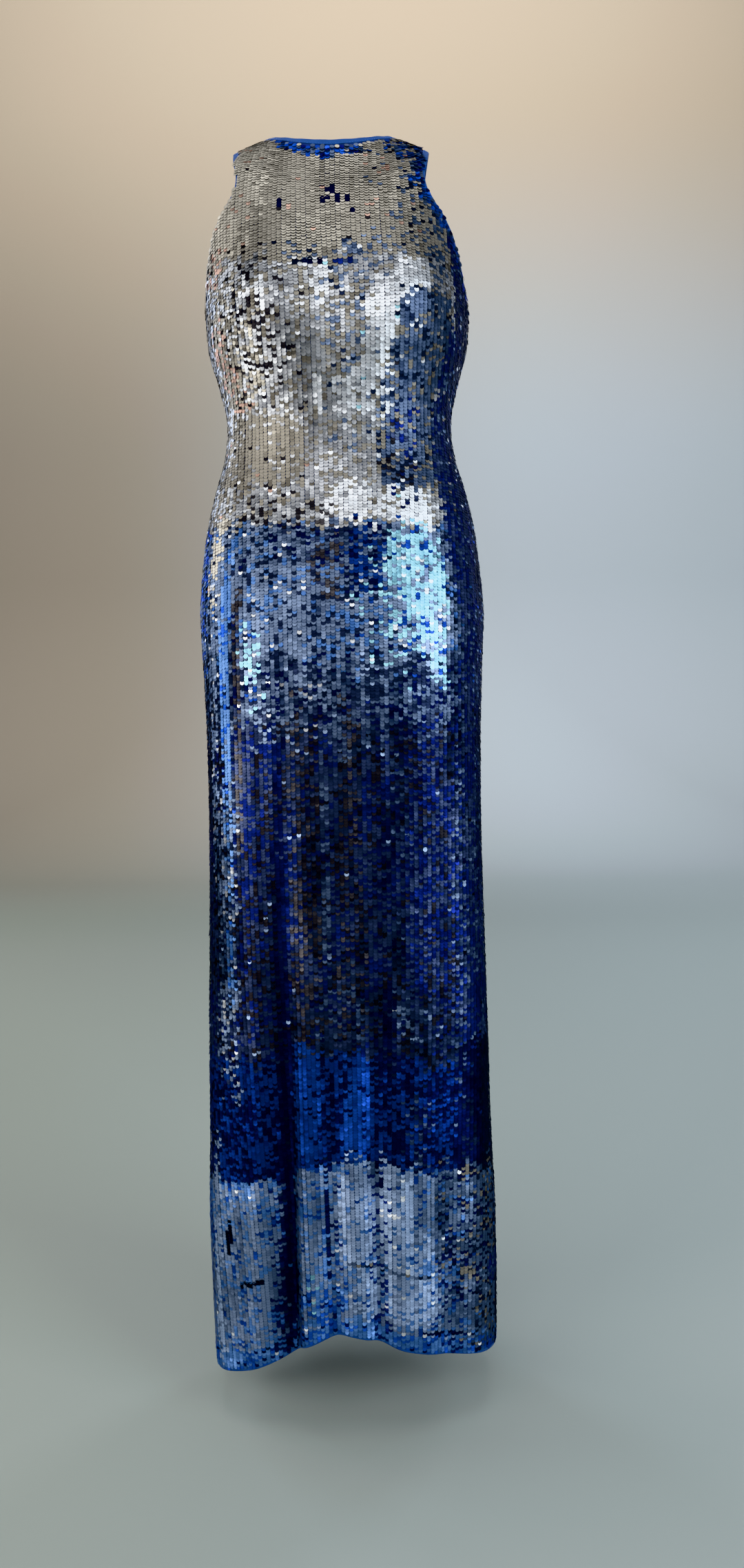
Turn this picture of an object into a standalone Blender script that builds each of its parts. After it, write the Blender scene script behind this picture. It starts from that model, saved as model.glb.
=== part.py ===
"""Full-length column gown without sleeves, in the hollow form it takes when worn.

The cloth is one smooth surface round the body, described by turn and station.
Turn is the angle round the body in degrees: 0 at the front, 90 at the wearer's
left side (+X), 180 at the back, negative on the wearer's right.  Station is a
length in metres up the side line: 0 at the tip of the shoulder, negative below
it, and positive from there over the shoulder to the neck.  Each cut piece is a
patch of that surface with a wall behind it.

The origin is between the tips of the shoulders, the front faces -Y and +Z is up.
"""
import bisect
import math
from collections import namedtuple

import bmesh
import bpy
from mathutils import Matrix, Vector

# Cloth: the wall of a panel, the gap at a seam, and the folded bindings, in metres.
WALL = 0.002
SEAM_GAP = 0.0003
BINDING_WALL = 0.003
BINDING_PROUD = 0.0005

# Heights of the cut, as stations.
NECK_EDGE = 0.041
NECK_BINDING_WIDTH = 0.006
SHOULDER_TIP = 0.0
UNDERARM = -0.165
SLIT_TOP = -1.12
HEM_BAND_HEIGHT = 0.020
HEM = -1.405

ARMHOLE_BINDING_WIDTH = 0.006
BINDING_ROUNDING = 0.0015

# Side slits: the open half gap at the hem, and the plain strip along each edge.
SLIT_HALF_GAP = 0.010
SLIT_STRIP_WIDTH = 0.008

# Centre-back zip.
ZIP_WIDTH = 0.006
ZIP_END = -0.50
SLIDER_STATION = 0.016
SLIDER_LENGTH = 0.009
SLIDER_WIDTH = 0.0055
SLIDER_FOOT_WIDTH = 0.0040
SLIDER_THICKNESS = 0.0022
SLIDER_CORNER = 0.0012
SLIDER_CLEARANCE = 0.0005
ARCH_WIDTH = 0.0042
ARCH_DEPTH = 0.0010
ARCH_POST = 0.0008
ARCH_BAR = 0.0008
PIN_HEIGHT = 0.0024
TAB_EYE_RADIUS = 0.0016
TAB_HOLE_RADIUS = 0.0009
TAB_EYE_WIDTH = 0.0019
TAB_LENGTH = 0.022
TAB_WIDTH = 0.0045
TAB_THICKNESS = 0.0010
TAB_CORNER = 0.0015
TAB_SHOULDER = 0.004
TAB_RING_WALL = 0.0004
TAB_TILT = math.radians(7.0)

# Grid of the panels: degrees of turn between columns, and how many of them stay
# put while the side edge moves.
COLUMN_STEP = 6
FIXED_COLUMNS = 13
SLIT_ROWS = 7
ZIP_ROWS = 22
ROUND_SIDES = 16
SHARP_ANGLE = math.radians(40.0)

Ring = namedtuple(
    "Ring",
    "station side_height half_width front back front_dip back_dip squareness shift",
)
RINGS = [Ring(*row) for row in (
    (-1.405, -1.405, 0.1735, 0.1060, 0.1120, 0.0000, 0.0000, 2.45, 0.0025),
    (-1.235, -1.235, 0.1735, 0.1060, 0.1120, 0.0000, 0.0000, 2.50, 0.0010),
    (-1.128, -1.128, 0.1690, 0.1060, 0.1115, 0.0000, 0.0000, 2.60, 0.0000),
    (-0.946, -0.946, 0.1635, 0.1070, 0.1110, 0.0000, 0.0000, 2.65, 0.0000),
    (-0.770, -0.770, 0.1580, 0.1090, 0.1120, 0.0000, 0.0000, 2.65, 0.0000),
    (-0.640, -0.640, 0.1565, 0.1110, 0.1165, 0.0000, 0.0000, 2.60, 0.0000),
    (-0.560, -0.560, 0.1585, 0.1120, 0.1210, 0.0000, 0.0000, 2.50, 0.0000),
    (-0.496, -0.496, 0.1605, 0.1100, 0.1190, 0.0000, 0.0000, 2.40, 0.0000),
    (-0.444, -0.444, 0.1560, 0.1040, 0.1070, 0.0000, 0.0000, 2.30, 0.0000),
    (-0.400, -0.400, 0.1495, 0.0970, 0.0930, 0.0000, 0.0000, 2.25, 0.0000),
    (-0.360, -0.360, 0.1395, 0.0920, 0.0830, 0.0000, 0.0000, 2.20, 0.0000),
    (-0.325, -0.325, 0.1285, 0.0900, 0.0785, 0.0000, 0.0000, 2.20, 0.0000),
    (-0.285, -0.285, 0.1245, 0.0960, 0.0810, 0.0000, 0.0000, 2.20, 0.0000),
    (-0.245, -0.245, 0.1325, 0.1080, 0.0880, 0.0000, 0.0000, 2.25, 0.0000),
    (-0.213, -0.213, 0.1415, 0.1180, 0.0930, 0.0000, 0.0000, 2.30, 0.0000),
    (-0.180, -0.180, 0.1440, 0.1230, 0.0965, 0.0000, 0.0000, 2.35, 0.0000),
    (-0.150, -0.150, 0.1435, 0.1230, 0.0985, 0.0040, 0.0030, 2.35, -0.0010),
    (-0.120, -0.118, 0.1440, 0.1200, 0.0985, 0.0150, 0.0110, 2.30, -0.0020),
    (-0.085, -0.080, 0.1430, 0.1125, 0.0965, 0.0310, 0.0230, 2.20, -0.0030),
    (-0.050, -0.042, 0.1385, 0.1025, 0.0925, 0.0460, 0.0340, 2.15, -0.0035),
    (-0.020, -0.012, 0.1270, 0.0920, 0.0865, 0.0540, 0.0410, 2.10, -0.0040),
    (0.000, 0.000, 0.1070, 0.0825, 0.0790, 0.0490, 0.0370, 2.05, -0.0040),
    (0.020, 0.008, 0.0880, 0.0730, 0.0675, 0.0360, 0.0250, 2.00, -0.0040),
    (0.041, 0.0155, 0.0680, 0.0640, 0.0565, 0.0225, 0.0120, 2.00, -0.0040),
)]

# Armhole: how far its edge cuts in from the side line, in degrees of turn, at each
# hour of a clock that reads 0 at the shoulder, 90 half-way down and 180 underarm.
CLOCK_STEP = 18
Scoop = namedtuple("Scoop", "clock front back")
SCOOPS = [Scoop(*row) for row in (
    (0, 0.0, 0.0),
    (18, 15.5, 14.0),
    (36, 27.0, 25.0),
    (54, 34.5, 31.5),
    (72, 34.5, 32.0),
    (90, 29.0, 28.0),
    (108, 24.5, 23.5),
    (126, 20.5, 19.5),
    (144, 15.0, 14.0),
    (162, 8.0, 7.5),
    (180, 0.0, 0.0),
)]

# Cups: a soft rise of the cloth over each side of the bust.
CUP_TURN = 35.0
CUP_SPREAD = 17.0
CUP_STATION = -0.178
CUP_HEIGHT = 0.050
CUP_RISE = 0.010

# Hem: how far the edge rises above the HEM station at each turn.
Rise = namedtuple("Rise", "turn rise")
HEM_RISES = [Rise(*row) for row in (
    (-180, 0.000),
    (-120, 0.002),
    (-90, 0.008),
    (-75, 0.010),
    (-60, 0.022),
    (-45, 0.043),
    (-28, 0.069),
    (-8, 0.082),
    (10, 0.077),
    (27, 0.063),
    (45, 0.051),
    (62, 0.038),
    (78, 0.025),
    (90, 0.016),
    (125, 0.003),
    (180, 0.000),
)]
RISE_STARTS = -0.75
RISE_POWER = 1.2

# Folds: each is a trough between two softer ridges.  It sits at one turn where it
# starts and at another at the hem, and deepens all the way down.
Fold = namedtuple("Fold", "starts_at turn_at_start turn_at_hem depth half_width")
FOLDS = [Fold(*row) for row in (
    (-0.66, -33.0, -38.0, 0.0150, 7.0),
    (-0.88, -9.0, -11.0, 0.0045, 6.0),
    (-0.74, 14.0, 18.0, 0.0065, 6.5),
    (-0.58, 52.0, 53.0, 0.0060, 7.5),
    (-0.95, -70.0, -68.0, -0.0040, 8.0),
    (-0.70, 118.0, 121.0, 0.0100, 8.0),
    (-0.90, 150.0, 152.0, 0.0060, 7.0),
    (-0.76, -166.0, -163.0, 0.0080, 7.5),
    (-0.64, -127.0, -124.0, 0.0090, 8.0),
)]
RIDGE_SHARE = 0.42
RIDGE_OFFSET = 1.7

Finish = namedtuple("Finish", "name colour roughness metallic")
SEQUINS = Finish("sequin_cloth", (0.12, 0.20, 0.50, 1.0), 0.30, 0.70)
PLAIN_CLOTH = Finish("plain_blue_cloth", (0.03, 0.12, 0.50, 1.0), 0.75, 0.0)
ZIP_TAPE = Finish("zip_blue", (0.02, 0.07, 0.35, 1.0), 0.60, 0.0)
ZIP_METAL = Finish("zip_metal", (0.62, 0.63, 0.66, 1.0), 0.30, 1.0)


class Curve:
    """Smooth curve through the rows of a table, one named column at a time."""

    def __init__(self, rows, along):
        self.keys = [getattr(row, along) for row in rows]
        self.columns = {
            name: [getattr(row, name) for row in rows]
            for name in rows[0]._fields
            if name != along
        }

    def slope(self, values, index):
        """Slope of the curve where it passes a row."""
        low = max(index - 1, 0)
        high = min(index + 1, len(values) - 1)
        return (values[high] - values[low]) / (self.keys[high] - self.keys[low])

    def at(self, name, key):
        """Value of one column at a key, carried on straight past the table's ends."""
        values = self.columns[name]
        low = min(max(bisect.bisect_right(self.keys, key) - 1, 0), len(values) - 2)
        span = self.keys[low + 1] - self.keys[low]
        t = (key - self.keys[low]) / span
        start = self.slope(values, low) * span
        end = self.slope(values, low + 1) * span
        if t < 0.0:
            return values[low] + start * t
        if t > 1.0:
            return values[low + 1] + end * (t - 1.0)
        rise = values[low + 1] - values[low]
        return (
            values[low]
            + start * t
            + (3.0 * rise - 2.0 * start - end) * t ** 2
            + (start + end - 2.0 * rise) * t ** 3
        )


RING_CURVE = Curve(RINGS, "station")
RISE_CURVE = Curve(HEM_RISES, "turn")
SCOOP_CURVE = Curve(SCOOPS, "clock")


def wrapped(turn):
    """The same angle between -180 and 180 degrees."""
    return (turn + 180.0) % 360.0 - 180.0


def bell(distance, spread):
    """Smooth bump of height 1."""
    return math.exp(-(distance / spread) ** 2)


def fold_offset(turn, station):
    """How far the folds move the cloth out from the plain surface."""
    total = 0.0
    for fold in FOLDS:
        share = (fold.starts_at - station) / (fold.starts_at - HEM)
        if share <= 0.0:
            continue
        share = min(share, 1.0)
        centre = fold.turn_at_start + (fold.turn_at_hem - fold.turn_at_start) * share
        off = wrapped(turn - centre)
        if abs(off) > 4.0 * fold.half_width:
            continue
        ridge = RIDGE_OFFSET * fold.half_width
        shape = (
            RIDGE_SHARE * bell(off - ridge, fold.half_width)
            + RIDGE_SHARE * bell(off + ridge, fold.half_width)
            - bell(off, fold.half_width)
        )
        growth = share * share * (3.0 - 2.0 * share)
        total += fold.depth * growth ** 0.75 * shape
    return total


def cup_offset(turn, station):
    """How far the bust cups lift the cloth."""
    side = bell(abs(wrapped(turn)) - CUP_TURN, CUP_SPREAD)
    return CUP_RISE * side * bell(station - CUP_STATION, CUP_HEIGHT)


def surface(turn, station):
    """Point of the cloth's outer face."""
    angle = math.radians(turn)
    across = math.sin(angle)
    forward = math.cos(angle)
    faces_front = forward > 0.0
    depth = RING_CURVE.at("front" if faces_front else "back", station)
    width = RING_CURVE.at("half_width", station)
    power = RING_CURVE.at("squareness", station)
    radius = (
        (abs(across) / width) ** power + (abs(forward) / depth) ** power
    ) ** (-1.0 / power)
    radius += fold_offset(turn, station) + cup_offset(turn, station)
    dip = RING_CURVE.at("front_dip" if faces_front else "back_dip", station)
    height = RING_CURVE.at("side_height", station) - dip * abs(forward) ** 1.5
    if station < RISE_STARTS:
        share = (RISE_STARTS - station) / (RISE_STARTS - HEM)
        height += RISE_CURVE.at("rise", wrapped(turn)) * share ** RISE_POWER
    shift = RING_CURVE.at("shift", station)
    return Vector((radius * across + shift, -radius * forward, height))


def outward(turn, station):
    """Direction that the cloth faces."""
    turn_step = 0.4
    station_step = 0.001
    round_body = surface(turn + turn_step, station) - surface(turn - turn_step, station)
    up_body = surface(turn, station + station_step) - surface(turn, station - station_step)
    return round_body.cross(up_body).normalized()


def cloth(turn, station, out=0.0):
    """Point at a distance out from the cloth's outer face."""
    return surface(turn, station) + outward(turn, station) * out


def turn_of(length, station, side_turn):
    """Degrees of turn that a short length covers near one turn."""
    step = surface(side_turn + 0.5, station) - surface(side_turn - 0.5, station)
    return length / step.length


def armhole_edge(clock):
    """Turn from the front and station of the open armhole's edge.

    Clock runs round the hole in degrees: 0 at the shoulder, 90 in front, 180
    under the arm and 270 behind.
    """
    angle = math.radians(clock)
    middle = 0.5 * (SHOULDER_TIP + UNDERARM)
    station = middle + (SHOULDER_TIP - middle) * math.cos(angle)
    off = wrapped(clock)
    if off >= 0.0:
        return 90.0 - SCOOP_CURVE.at("front", off), station
    return 90.0 + SCOOP_CURVE.at("back", -off), station


def armhole_line(clock, width):
    """The armhole's edge moved a width away from the hole, along the cloth."""
    turn, station = armhole_edge(clock)
    before = armhole_edge(clock - 1.0)
    after = armhole_edge(clock + 1.0)
    metres_per_turn = 1.0 / turn_of(1.0, station, turn)
    along_turn = (after[0] - before[0]) * metres_per_turn
    along_station = after[1] - before[1]
    length = math.hypot(along_turn, along_station)
    turn += along_station / length * width / metres_per_turn
    station -= along_turn / length * width
    return turn, station


def clocks(first, last):
    """Clock angles of the armhole from first to last."""
    return range(first, last + 1, CLOCK_STEP)


def spread(low, high, count):
    """Evenly spaced stations from low to high."""
    return [low + (high - low) * i / (count - 1) for i in range(count)]


HEM_SEAM = HEM + HEM_BAND_HEIGHT + 0.5 * SEAM_GAP
NECK_SEAM = NECK_EDGE - NECK_BINDING_WIDTH - 0.5 * SEAM_GAP
ARMHOLE_SEAM_WIDTH = ARMHOLE_BINDING_WIDTH + SEAM_GAP


def slit_half_gap(station):
    """Half the open gap of a side slit."""
    share = max(0.0, (SLIT_TOP - station) / (SLIT_TOP - HEM))
    return 0.5 * SEAM_GAP + (SLIT_HALF_GAP - 0.5 * SEAM_GAP) * share


def side_edge(station, behind, inset=0.0):
    """Turn of a panel's side edge, measured from the front on one side."""
    length = slit_half_gap(station) + inset
    if behind:
        return 90.0 + turn_of(length, station, 92.0)
    return 90.0 - turn_of(length, station, 88.0)


def panel_rows(behind):
    """Station and side edge of each row of a panel, from the hem to the neck."""
    strip = SLIT_STRIP_WIDTH + SEAM_GAP
    rows = []
    for station in spread(HEM_SEAM, SLIT_TOP - SEAM_GAP, SLIT_ROWS):
        rows.append((station, side_edge(station, behind, strip)))
    plain = [SLIT_TOP + SEAM_GAP]
    plain += spread(-1.075, -0.60, 11)
    if behind:
        plain += [ZIP_END - SEAM_GAP, ZIP_END + SEAM_GAP]
        plain += spread(-0.56, -0.535, 2) + spread(-0.465, -0.36, 4)
    else:
        plain += spread(-0.56, -0.36, 7)
    plain += spread(-0.333, -0.20, 6)
    for station in sorted(plain):
        rows.append((station, side_edge(station, behind)))
    bottom = armhole_line(180, ARMHOLE_SEAM_WIDTH)[1]
    top = armhole_line(0, ARMHOLE_SEAM_WIDTH)[1]
    rows.append((bottom, side_edge(bottom, behind)))
    for clock in reversed(clocks(CLOCK_STEP, 180 - CLOCK_STEP)):
        turn, station = armhole_line(-clock if behind else clock, ARMHOLE_SEAM_WIDTH)
        rows.append((station, turn))
    for station in spread(top, NECK_SEAM, 3):
        rows.append((station, side_edge(station, behind)))
    return rows


def inner_columns(station, edge, behind):
    """Turns of the columns between the middle of a panel and its side edge."""
    span = 180.0 - edge if behind else edge
    squeeze = span / 90.0 if station > UNDERARM - ARMHOLE_SEAM_WIDTH - 0.001 else 1.0
    columns = [COLUMN_STEP * i * squeeze for i in range(1, FIXED_COLUMNS + 1)]
    columns.append(0.5 * (columns[-1] + span))
    columns.append(span)
    return columns


def zip_edge(station):
    """Turn away from the centre back of a back panel's middle edge."""
    length = 0.5 * SEAM_GAP
    if station > ZIP_END:
        length = 0.5 * ZIP_WIDTH + SEAM_GAP
    return turn_of(length, station, 180.0)


def front_grid(rows):
    """Points of a piece that goes right across the front."""
    grid = []
    for station, edge in rows:
        half = inner_columns(station, edge, behind=False)
        turns = [-turn for turn in reversed(half)] + [0.0] + half
        grid.append([(turn, station) for turn in turns])
    return grid


def back_grid(rows, side):
    """Points of a piece that goes from one side seam to the centre back."""
    grid = []
    for station, edge in rows:
        offsets = [zip_edge(station)] + inner_columns(station, edge, behind=True)
        turns = [180.0 - offset for offset in reversed(offsets)]
        if side < 0:
            turns = [-turn for turn in reversed(turns)]
        grid.append([(turn, station) for turn in turns])
    return grid


def make_material(finish):
    """Plain shader of one finish, made once and shared."""
    material = bpy.data.materials.get(finish.name)
    if material is None:
        material = bpy.data.materials.new(finish.name)
        material.use_nodes = True
        shader = material.node_tree.nodes["Principled BSDF"]
        shader.inputs["Base Color"].default_value = finish.colour
        shader.inputs["Roughness"].default_value = finish.roughness
        shader.inputs["Metallic"].default_value = finish.metallic
    return material


def add_object(name, form, finish):
    """Put a finished bmesh in the scene as a named object."""
    bmesh.ops.recalc_face_normals(form, faces=form.faces)
    mesh = bpy.data.meshes.new(name)
    form.to_mesh(mesh)
    form.free()
    mesh.materials.append(make_material(finish))
    mesh.shade_smooth()
    mesh.set_sharp_from_angle(angle=SHARP_ANGLE)
    piece = bpy.data.objects.new(name, mesh)
    bpy.context.scene.collection.objects.link(piece)
    return piece


def wall(name, grid, finish, thickness=WALL, proud=0.0, ring=False):
    """Closed wall on a grid of turns and stations.

    A ring's columns join up into a loop; any other grid has a rim at both ends.
    """
    form = bmesh.new()
    columns = len(grid[0])
    faces_of_wall = []
    for depth in (proud, proud - thickness):
        faces_of_wall.append([
            [form.verts.new(cloth(turn, station, depth)) for turn, station in row]
            for row in grid
        ])
    outer, inner = faces_of_wall
    steps = range(columns if ring else columns - 1)
    for low, high in zip(range(len(grid) - 1), range(1, len(grid))):
        for left in steps:
            right = (left + 1) % columns
            form.faces.new(
                (outer[low][left], outer[low][right], outer[high][right], outer[high][left])
            )
            form.faces.new(
                (inner[low][left], inner[high][left], inner[high][right], inner[low][right])
            )
    for row in (0, len(grid) - 1):
        for left in steps:
            right = (left + 1) % columns
            form.faces.new(
                (outer[row][left], inner[row][left], inner[row][right], outer[row][right])
            )
    if not ring:
        for column in (0, columns - 1):
            for low in range(len(grid) - 1):
                form.faces.new((
                    outer[low][column],
                    outer[low + 1][column],
                    inner[low + 1][column],
                    inner[low][column],
                ))
    return add_object(name, form, finish)


def make_panels():
    """The three cut pieces of sequinned cloth."""
    wall("front_panel", front_grid(panel_rows(behind=False)), SEQUINS)
    back_rows = panel_rows(behind=True)
    wall("back_left_panel", back_grid(back_rows, side=1), SEQUINS)
    wall("back_right_panel", back_grid(back_rows, side=-1), SEQUINS)


def make_neck_binding():
    """Strip round the neck, open where the zip runs up the centre back."""
    grid = []
    seam = NECK_EDGE - NECK_BINDING_WIDTH
    for station in (seam, NECK_EDGE - BINDING_ROUNDING, NECK_EDGE):
        half = [float(turn) for turn in range(COLUMN_STEP, 180, COLUMN_STEP)]
        half.append(180.0 - zip_edge(station))
        turns = [-turn for turn in reversed(half)] + [0.0] + half
        grid.append([(turn, station) for turn in turns])
    wall("neck_binding", grid, PLAIN_CLOTH, BINDING_WALL, BINDING_PROUD)


def make_armhole_binding(name, side):
    """Strip all round one armhole."""
    grid = []
    for width in (ARMHOLE_BINDING_WIDTH, BINDING_ROUNDING, 0.0):
        points = [armhole_line(clock, width) for clock in clocks(0, 359)]
        grid.append([(side * turn, station) for turn, station in points])
    wall(name, grid, PLAIN_CLOTH, BINDING_WALL, BINDING_PROUD, ring=True)


def make_hem_bands():
    """Plain strips that finish the lower edge of each panel."""
    stations = (HEM, HEM_SEAM - SEAM_GAP)
    front = [(station, side_edge(station, behind=False)) for station in stations]
    behind = [(station, side_edge(station, behind=True)) for station in stations]
    wall("front_hem_band", front_grid(front), PLAIN_CLOTH)
    wall("back_left_hem_band", back_grid(behind, side=1), PLAIN_CLOTH)
    wall("back_right_hem_band", back_grid(behind, side=-1), PLAIN_CLOTH)


def make_slit_strip(name, side, behind):
    """Plain strip along one edge of a side slit, down to the hem band."""
    grid = []
    for station in spread(HEM_SEAM, SLIT_TOP - 2.0 * SEAM_GAP, SLIT_ROWS):
        edge = side_edge(station, behind)
        seam = side_edge(station, behind, SLIT_STRIP_WIDTH)
        turns = sorted((side * edge, side * seam))
        grid.append([(turn, station) for turn in turns])
    wall(name, grid, PLAIN_CLOTH)


def make_zip_chain():
    """The closed zip, a narrow strip between the back panels."""
    grid = []
    for station in spread(ZIP_END + 2.0 * SEAM_GAP, NECK_EDGE, ZIP_ROWS):
        half = turn_of(0.5 * ZIP_WIDTH, station, 180.0)
        grid.append([(180.0 - half, station), (180.0, station), (180.0 + half, station)])
    wall("zip_chain", grid, ZIP_TAPE)


def slider_frame():
    """Axes at the slider's foot: X across, Y down the zip and Z out of the cloth."""
    out = outward(180.0, SLIDER_STATION)
    across = Vector((1.0, 0.0, 0.0))
    down = out.cross(across).normalized()
    foot = cloth(180.0, SLIDER_STATION, SLIDER_CLEARANCE)
    frame = Matrix((across, down, out)).transposed().to_4x4()
    frame.translation = foot
    return frame


def extrude_outline(outline, axis, depth):
    """Prism on a closed outline, centred along one axis."""
    form = bmesh.new()
    half = 0.5 * depth
    if axis == "Z":
        points = [Vector((u, v, 0.0)) for u, v in outline]
        travel = Vector((0.0, 0.0, depth))
    else:
        points = [Vector((u, -half, v)) for u, v in outline]
        travel = Vector((0.0, depth, 0.0))
    face = form.faces.new([form.verts.new(point) for point in points])
    grown = bmesh.ops.extrude_face_region(form, geom=[face])
    moved = [item for item in grown["geom"] if isinstance(item, bmesh.types.BMVert)]
    bmesh.ops.translate(form, verts=moved, vec=travel)
    return form


def hide_cutter(cutter):
    """Mark an object as a helper that only shapes another one."""
    cutter.hide_render = True
    cutter.display_type = "WIRE"


def combine(target, helper, operation):
    """Give the target an exact Boolean with a helper."""
    change = target.modifiers.new(helper.name, "BOOLEAN")
    change.object = helper
    change.operation = operation
    change.solver = "EXACT"
    hide_cutter(helper)


def make_slider(frame):
    """Slider plate with the arch that holds the pull tab."""
    half_length = 0.5 * SLIDER_LENGTH
    head = 0.5 * SLIDER_WIDTH
    foot = 0.5 * SLIDER_FOOT_WIDTH
    corner = SLIDER_CORNER
    plate_outline = (
        (-head + corner, -half_length),
        (head - corner, -half_length),
        (head, -half_length + corner),
        (foot, half_length - corner),
        (foot - corner, half_length),
        (-foot + corner, half_length),
        (-foot, half_length - corner),
        (-head, -half_length + corner),
    )
    plate = extrude_outline(plate_outline, "Z", SLIDER_THICKNESS)
    slider = add_object("zip_slider", plate, ZIP_METAL)
    slider.matrix_world = frame
    outside = 0.5 * ARCH_WIDTH
    inside = outside - ARCH_POST
    bar_low = SLIDER_THICKNESS + PIN_HEIGHT - 0.5 * ARCH_BAR
    bar_high = bar_low + ARCH_BAR
    root = 0.5 * SLIDER_THICKNESS
    arch_outline = (
        (-outside, root),
        (-inside, root),
        (-inside, bar_low),
        (inside, bar_low),
        (inside, root),
        (outside, root),
        (outside, bar_high),
        (-outside, bar_high),
    )
    arch_form = extrude_outline(arch_outline, "Y", ARCH_DEPTH)
    arch = add_object("slider_arch_shape", arch_form, ZIP_METAL)
    arch.matrix_world = frame
    combine(slider, arch, "UNION")


def round_bar(name, radius, length):
    """Cylinder along X."""
    form = bmesh.new()
    bmesh.ops.create_cone(
        form,
        cap_ends=True,
        segments=ROUND_SIDES,
        radius1=radius,
        radius2=radius,
        depth=length,
        matrix=Matrix.Rotation(math.radians(90.0), 4, "Y"),
    )
    return add_object(name, form, ZIP_METAL)


def make_pull_tab(frame):
    """Pull tab that hangs from the slider's arch and turns round its bar."""
    pin = frame @ Matrix.Translation((0.0, 0.0, SLIDER_THICKNESS + PIN_HEIGHT))
    hang = pin @ Matrix.Rotation(-TAB_TILT, 4, "X")
    tab_eye = round_bar("zip_pull", TAB_EYE_RADIUS, TAB_EYE_WIDTH)
    start = TAB_HOLE_RADIUS + TAB_RING_WALL
    shoulder = start + TAB_SHOULDER
    end = TAB_LENGTH
    corner = TAB_CORNER
    half = 0.5 * TAB_WIDTH
    neck = 0.5 * TAB_EYE_WIDTH
    tab_outline = (
        (-neck, start),
        (neck, start),
        (half, shoulder),
        (half, end - corner),
        (half - corner, end),
        (-half + corner, end),
        (-half, end - corner),
        (-half, shoulder),
    )
    tab_form = extrude_outline(tab_outline, "Z", TAB_THICKNESS)
    bmesh.ops.translate(
        tab_form, verts=tab_form.verts, vec=(0.0, 0.0, -0.5 * TAB_THICKNESS)
    )
    tab_plate = add_object("pull_plate_shape", tab_form, ZIP_METAL)
    tab_hole = round_bar("pull_hole_shape", TAB_HOLE_RADIUS, 2.0 * TAB_EYE_WIDTH)
    for piece in (tab_eye, tab_plate, tab_hole):
        piece.matrix_world = hang
    combine(tab_eye, tab_plate, "UNION")
    combine(tab_eye, tab_hole, "DIFFERENCE")


def clear_scene():
    """Start from an empty scene."""
    for item in list(bpy.data.objects):
        bpy.data.objects.remove(item)


def main():
    """Build every piece of the gown."""
    clear_scene()
    make_panels()
    make_neck_binding()
    make_armhole_binding("armhole_binding_left", side=1)
    make_armhole_binding("armhole_binding_right", side=-1)
    make_hem_bands()
    make_slit_strip("slit_strip_front_left", side=1, behind=False)
    make_slit_strip("slit_strip_front_right", side=-1, behind=False)
    make_slit_strip("slit_strip_back_left", side=1, behind=True)
    make_slit_strip("slit_strip_back_right", side=-1, behind=True)
    make_zip_chain()
    frame = slider_frame()
    make_slider(frame)
    make_pull_tab(frame)


main()
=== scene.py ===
"""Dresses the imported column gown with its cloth, sequins, bindings, zip and stage.

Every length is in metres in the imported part's own frame: the origin lies between
the tips of the shoulders, -Y is the front and +Z is up.  The cloth is described as
in the part's source by turn, the angle round the body in degrees, and station, the
length up the side line.
"""

import logging
import math
from dataclasses import dataclass, field
from enum import Enum
from typing import Any, Mapping, Self, Sequence

import bmesh
import bpy
import numpy as np
from mathutils import Matrix, Vector


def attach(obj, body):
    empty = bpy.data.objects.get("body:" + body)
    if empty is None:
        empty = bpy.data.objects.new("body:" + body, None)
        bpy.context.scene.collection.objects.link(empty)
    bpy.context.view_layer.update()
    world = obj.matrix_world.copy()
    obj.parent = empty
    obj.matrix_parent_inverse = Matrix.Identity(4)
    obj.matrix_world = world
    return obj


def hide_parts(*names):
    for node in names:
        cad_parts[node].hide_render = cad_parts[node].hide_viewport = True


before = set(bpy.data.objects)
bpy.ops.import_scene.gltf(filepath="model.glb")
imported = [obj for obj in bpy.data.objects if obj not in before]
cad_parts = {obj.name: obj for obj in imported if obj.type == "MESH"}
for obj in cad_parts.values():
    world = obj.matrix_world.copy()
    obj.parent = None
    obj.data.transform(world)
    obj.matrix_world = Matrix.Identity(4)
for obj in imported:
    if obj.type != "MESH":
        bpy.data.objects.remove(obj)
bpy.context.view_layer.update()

LOG = logging.getLogger("gown")
Array = np.ndarray
Piece = bpy.types.Object
Material = bpy.types.Material
Triple = tuple[float, float, float]
Colour = Triple

GOWN = "gown"
PULL = "pull"
SIDE_SEAM = 90.0
CENTRE_BACK = 180.0


class Slot(Enum):
    """Names of the gown's material slots."""

    SEQUIN_CLOTH = "sequin_cloth"
    PLAIN_CLOTH = "plain_cloth"
    ZIP_TAPE = "zip_tape"
    ZIP_METAL = "zip_metal"


# ---- Shader expressions ----
SMOOTH_STEP = {"interpolation_type": "SMOOTHSTEP", "clamp": True}


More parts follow.
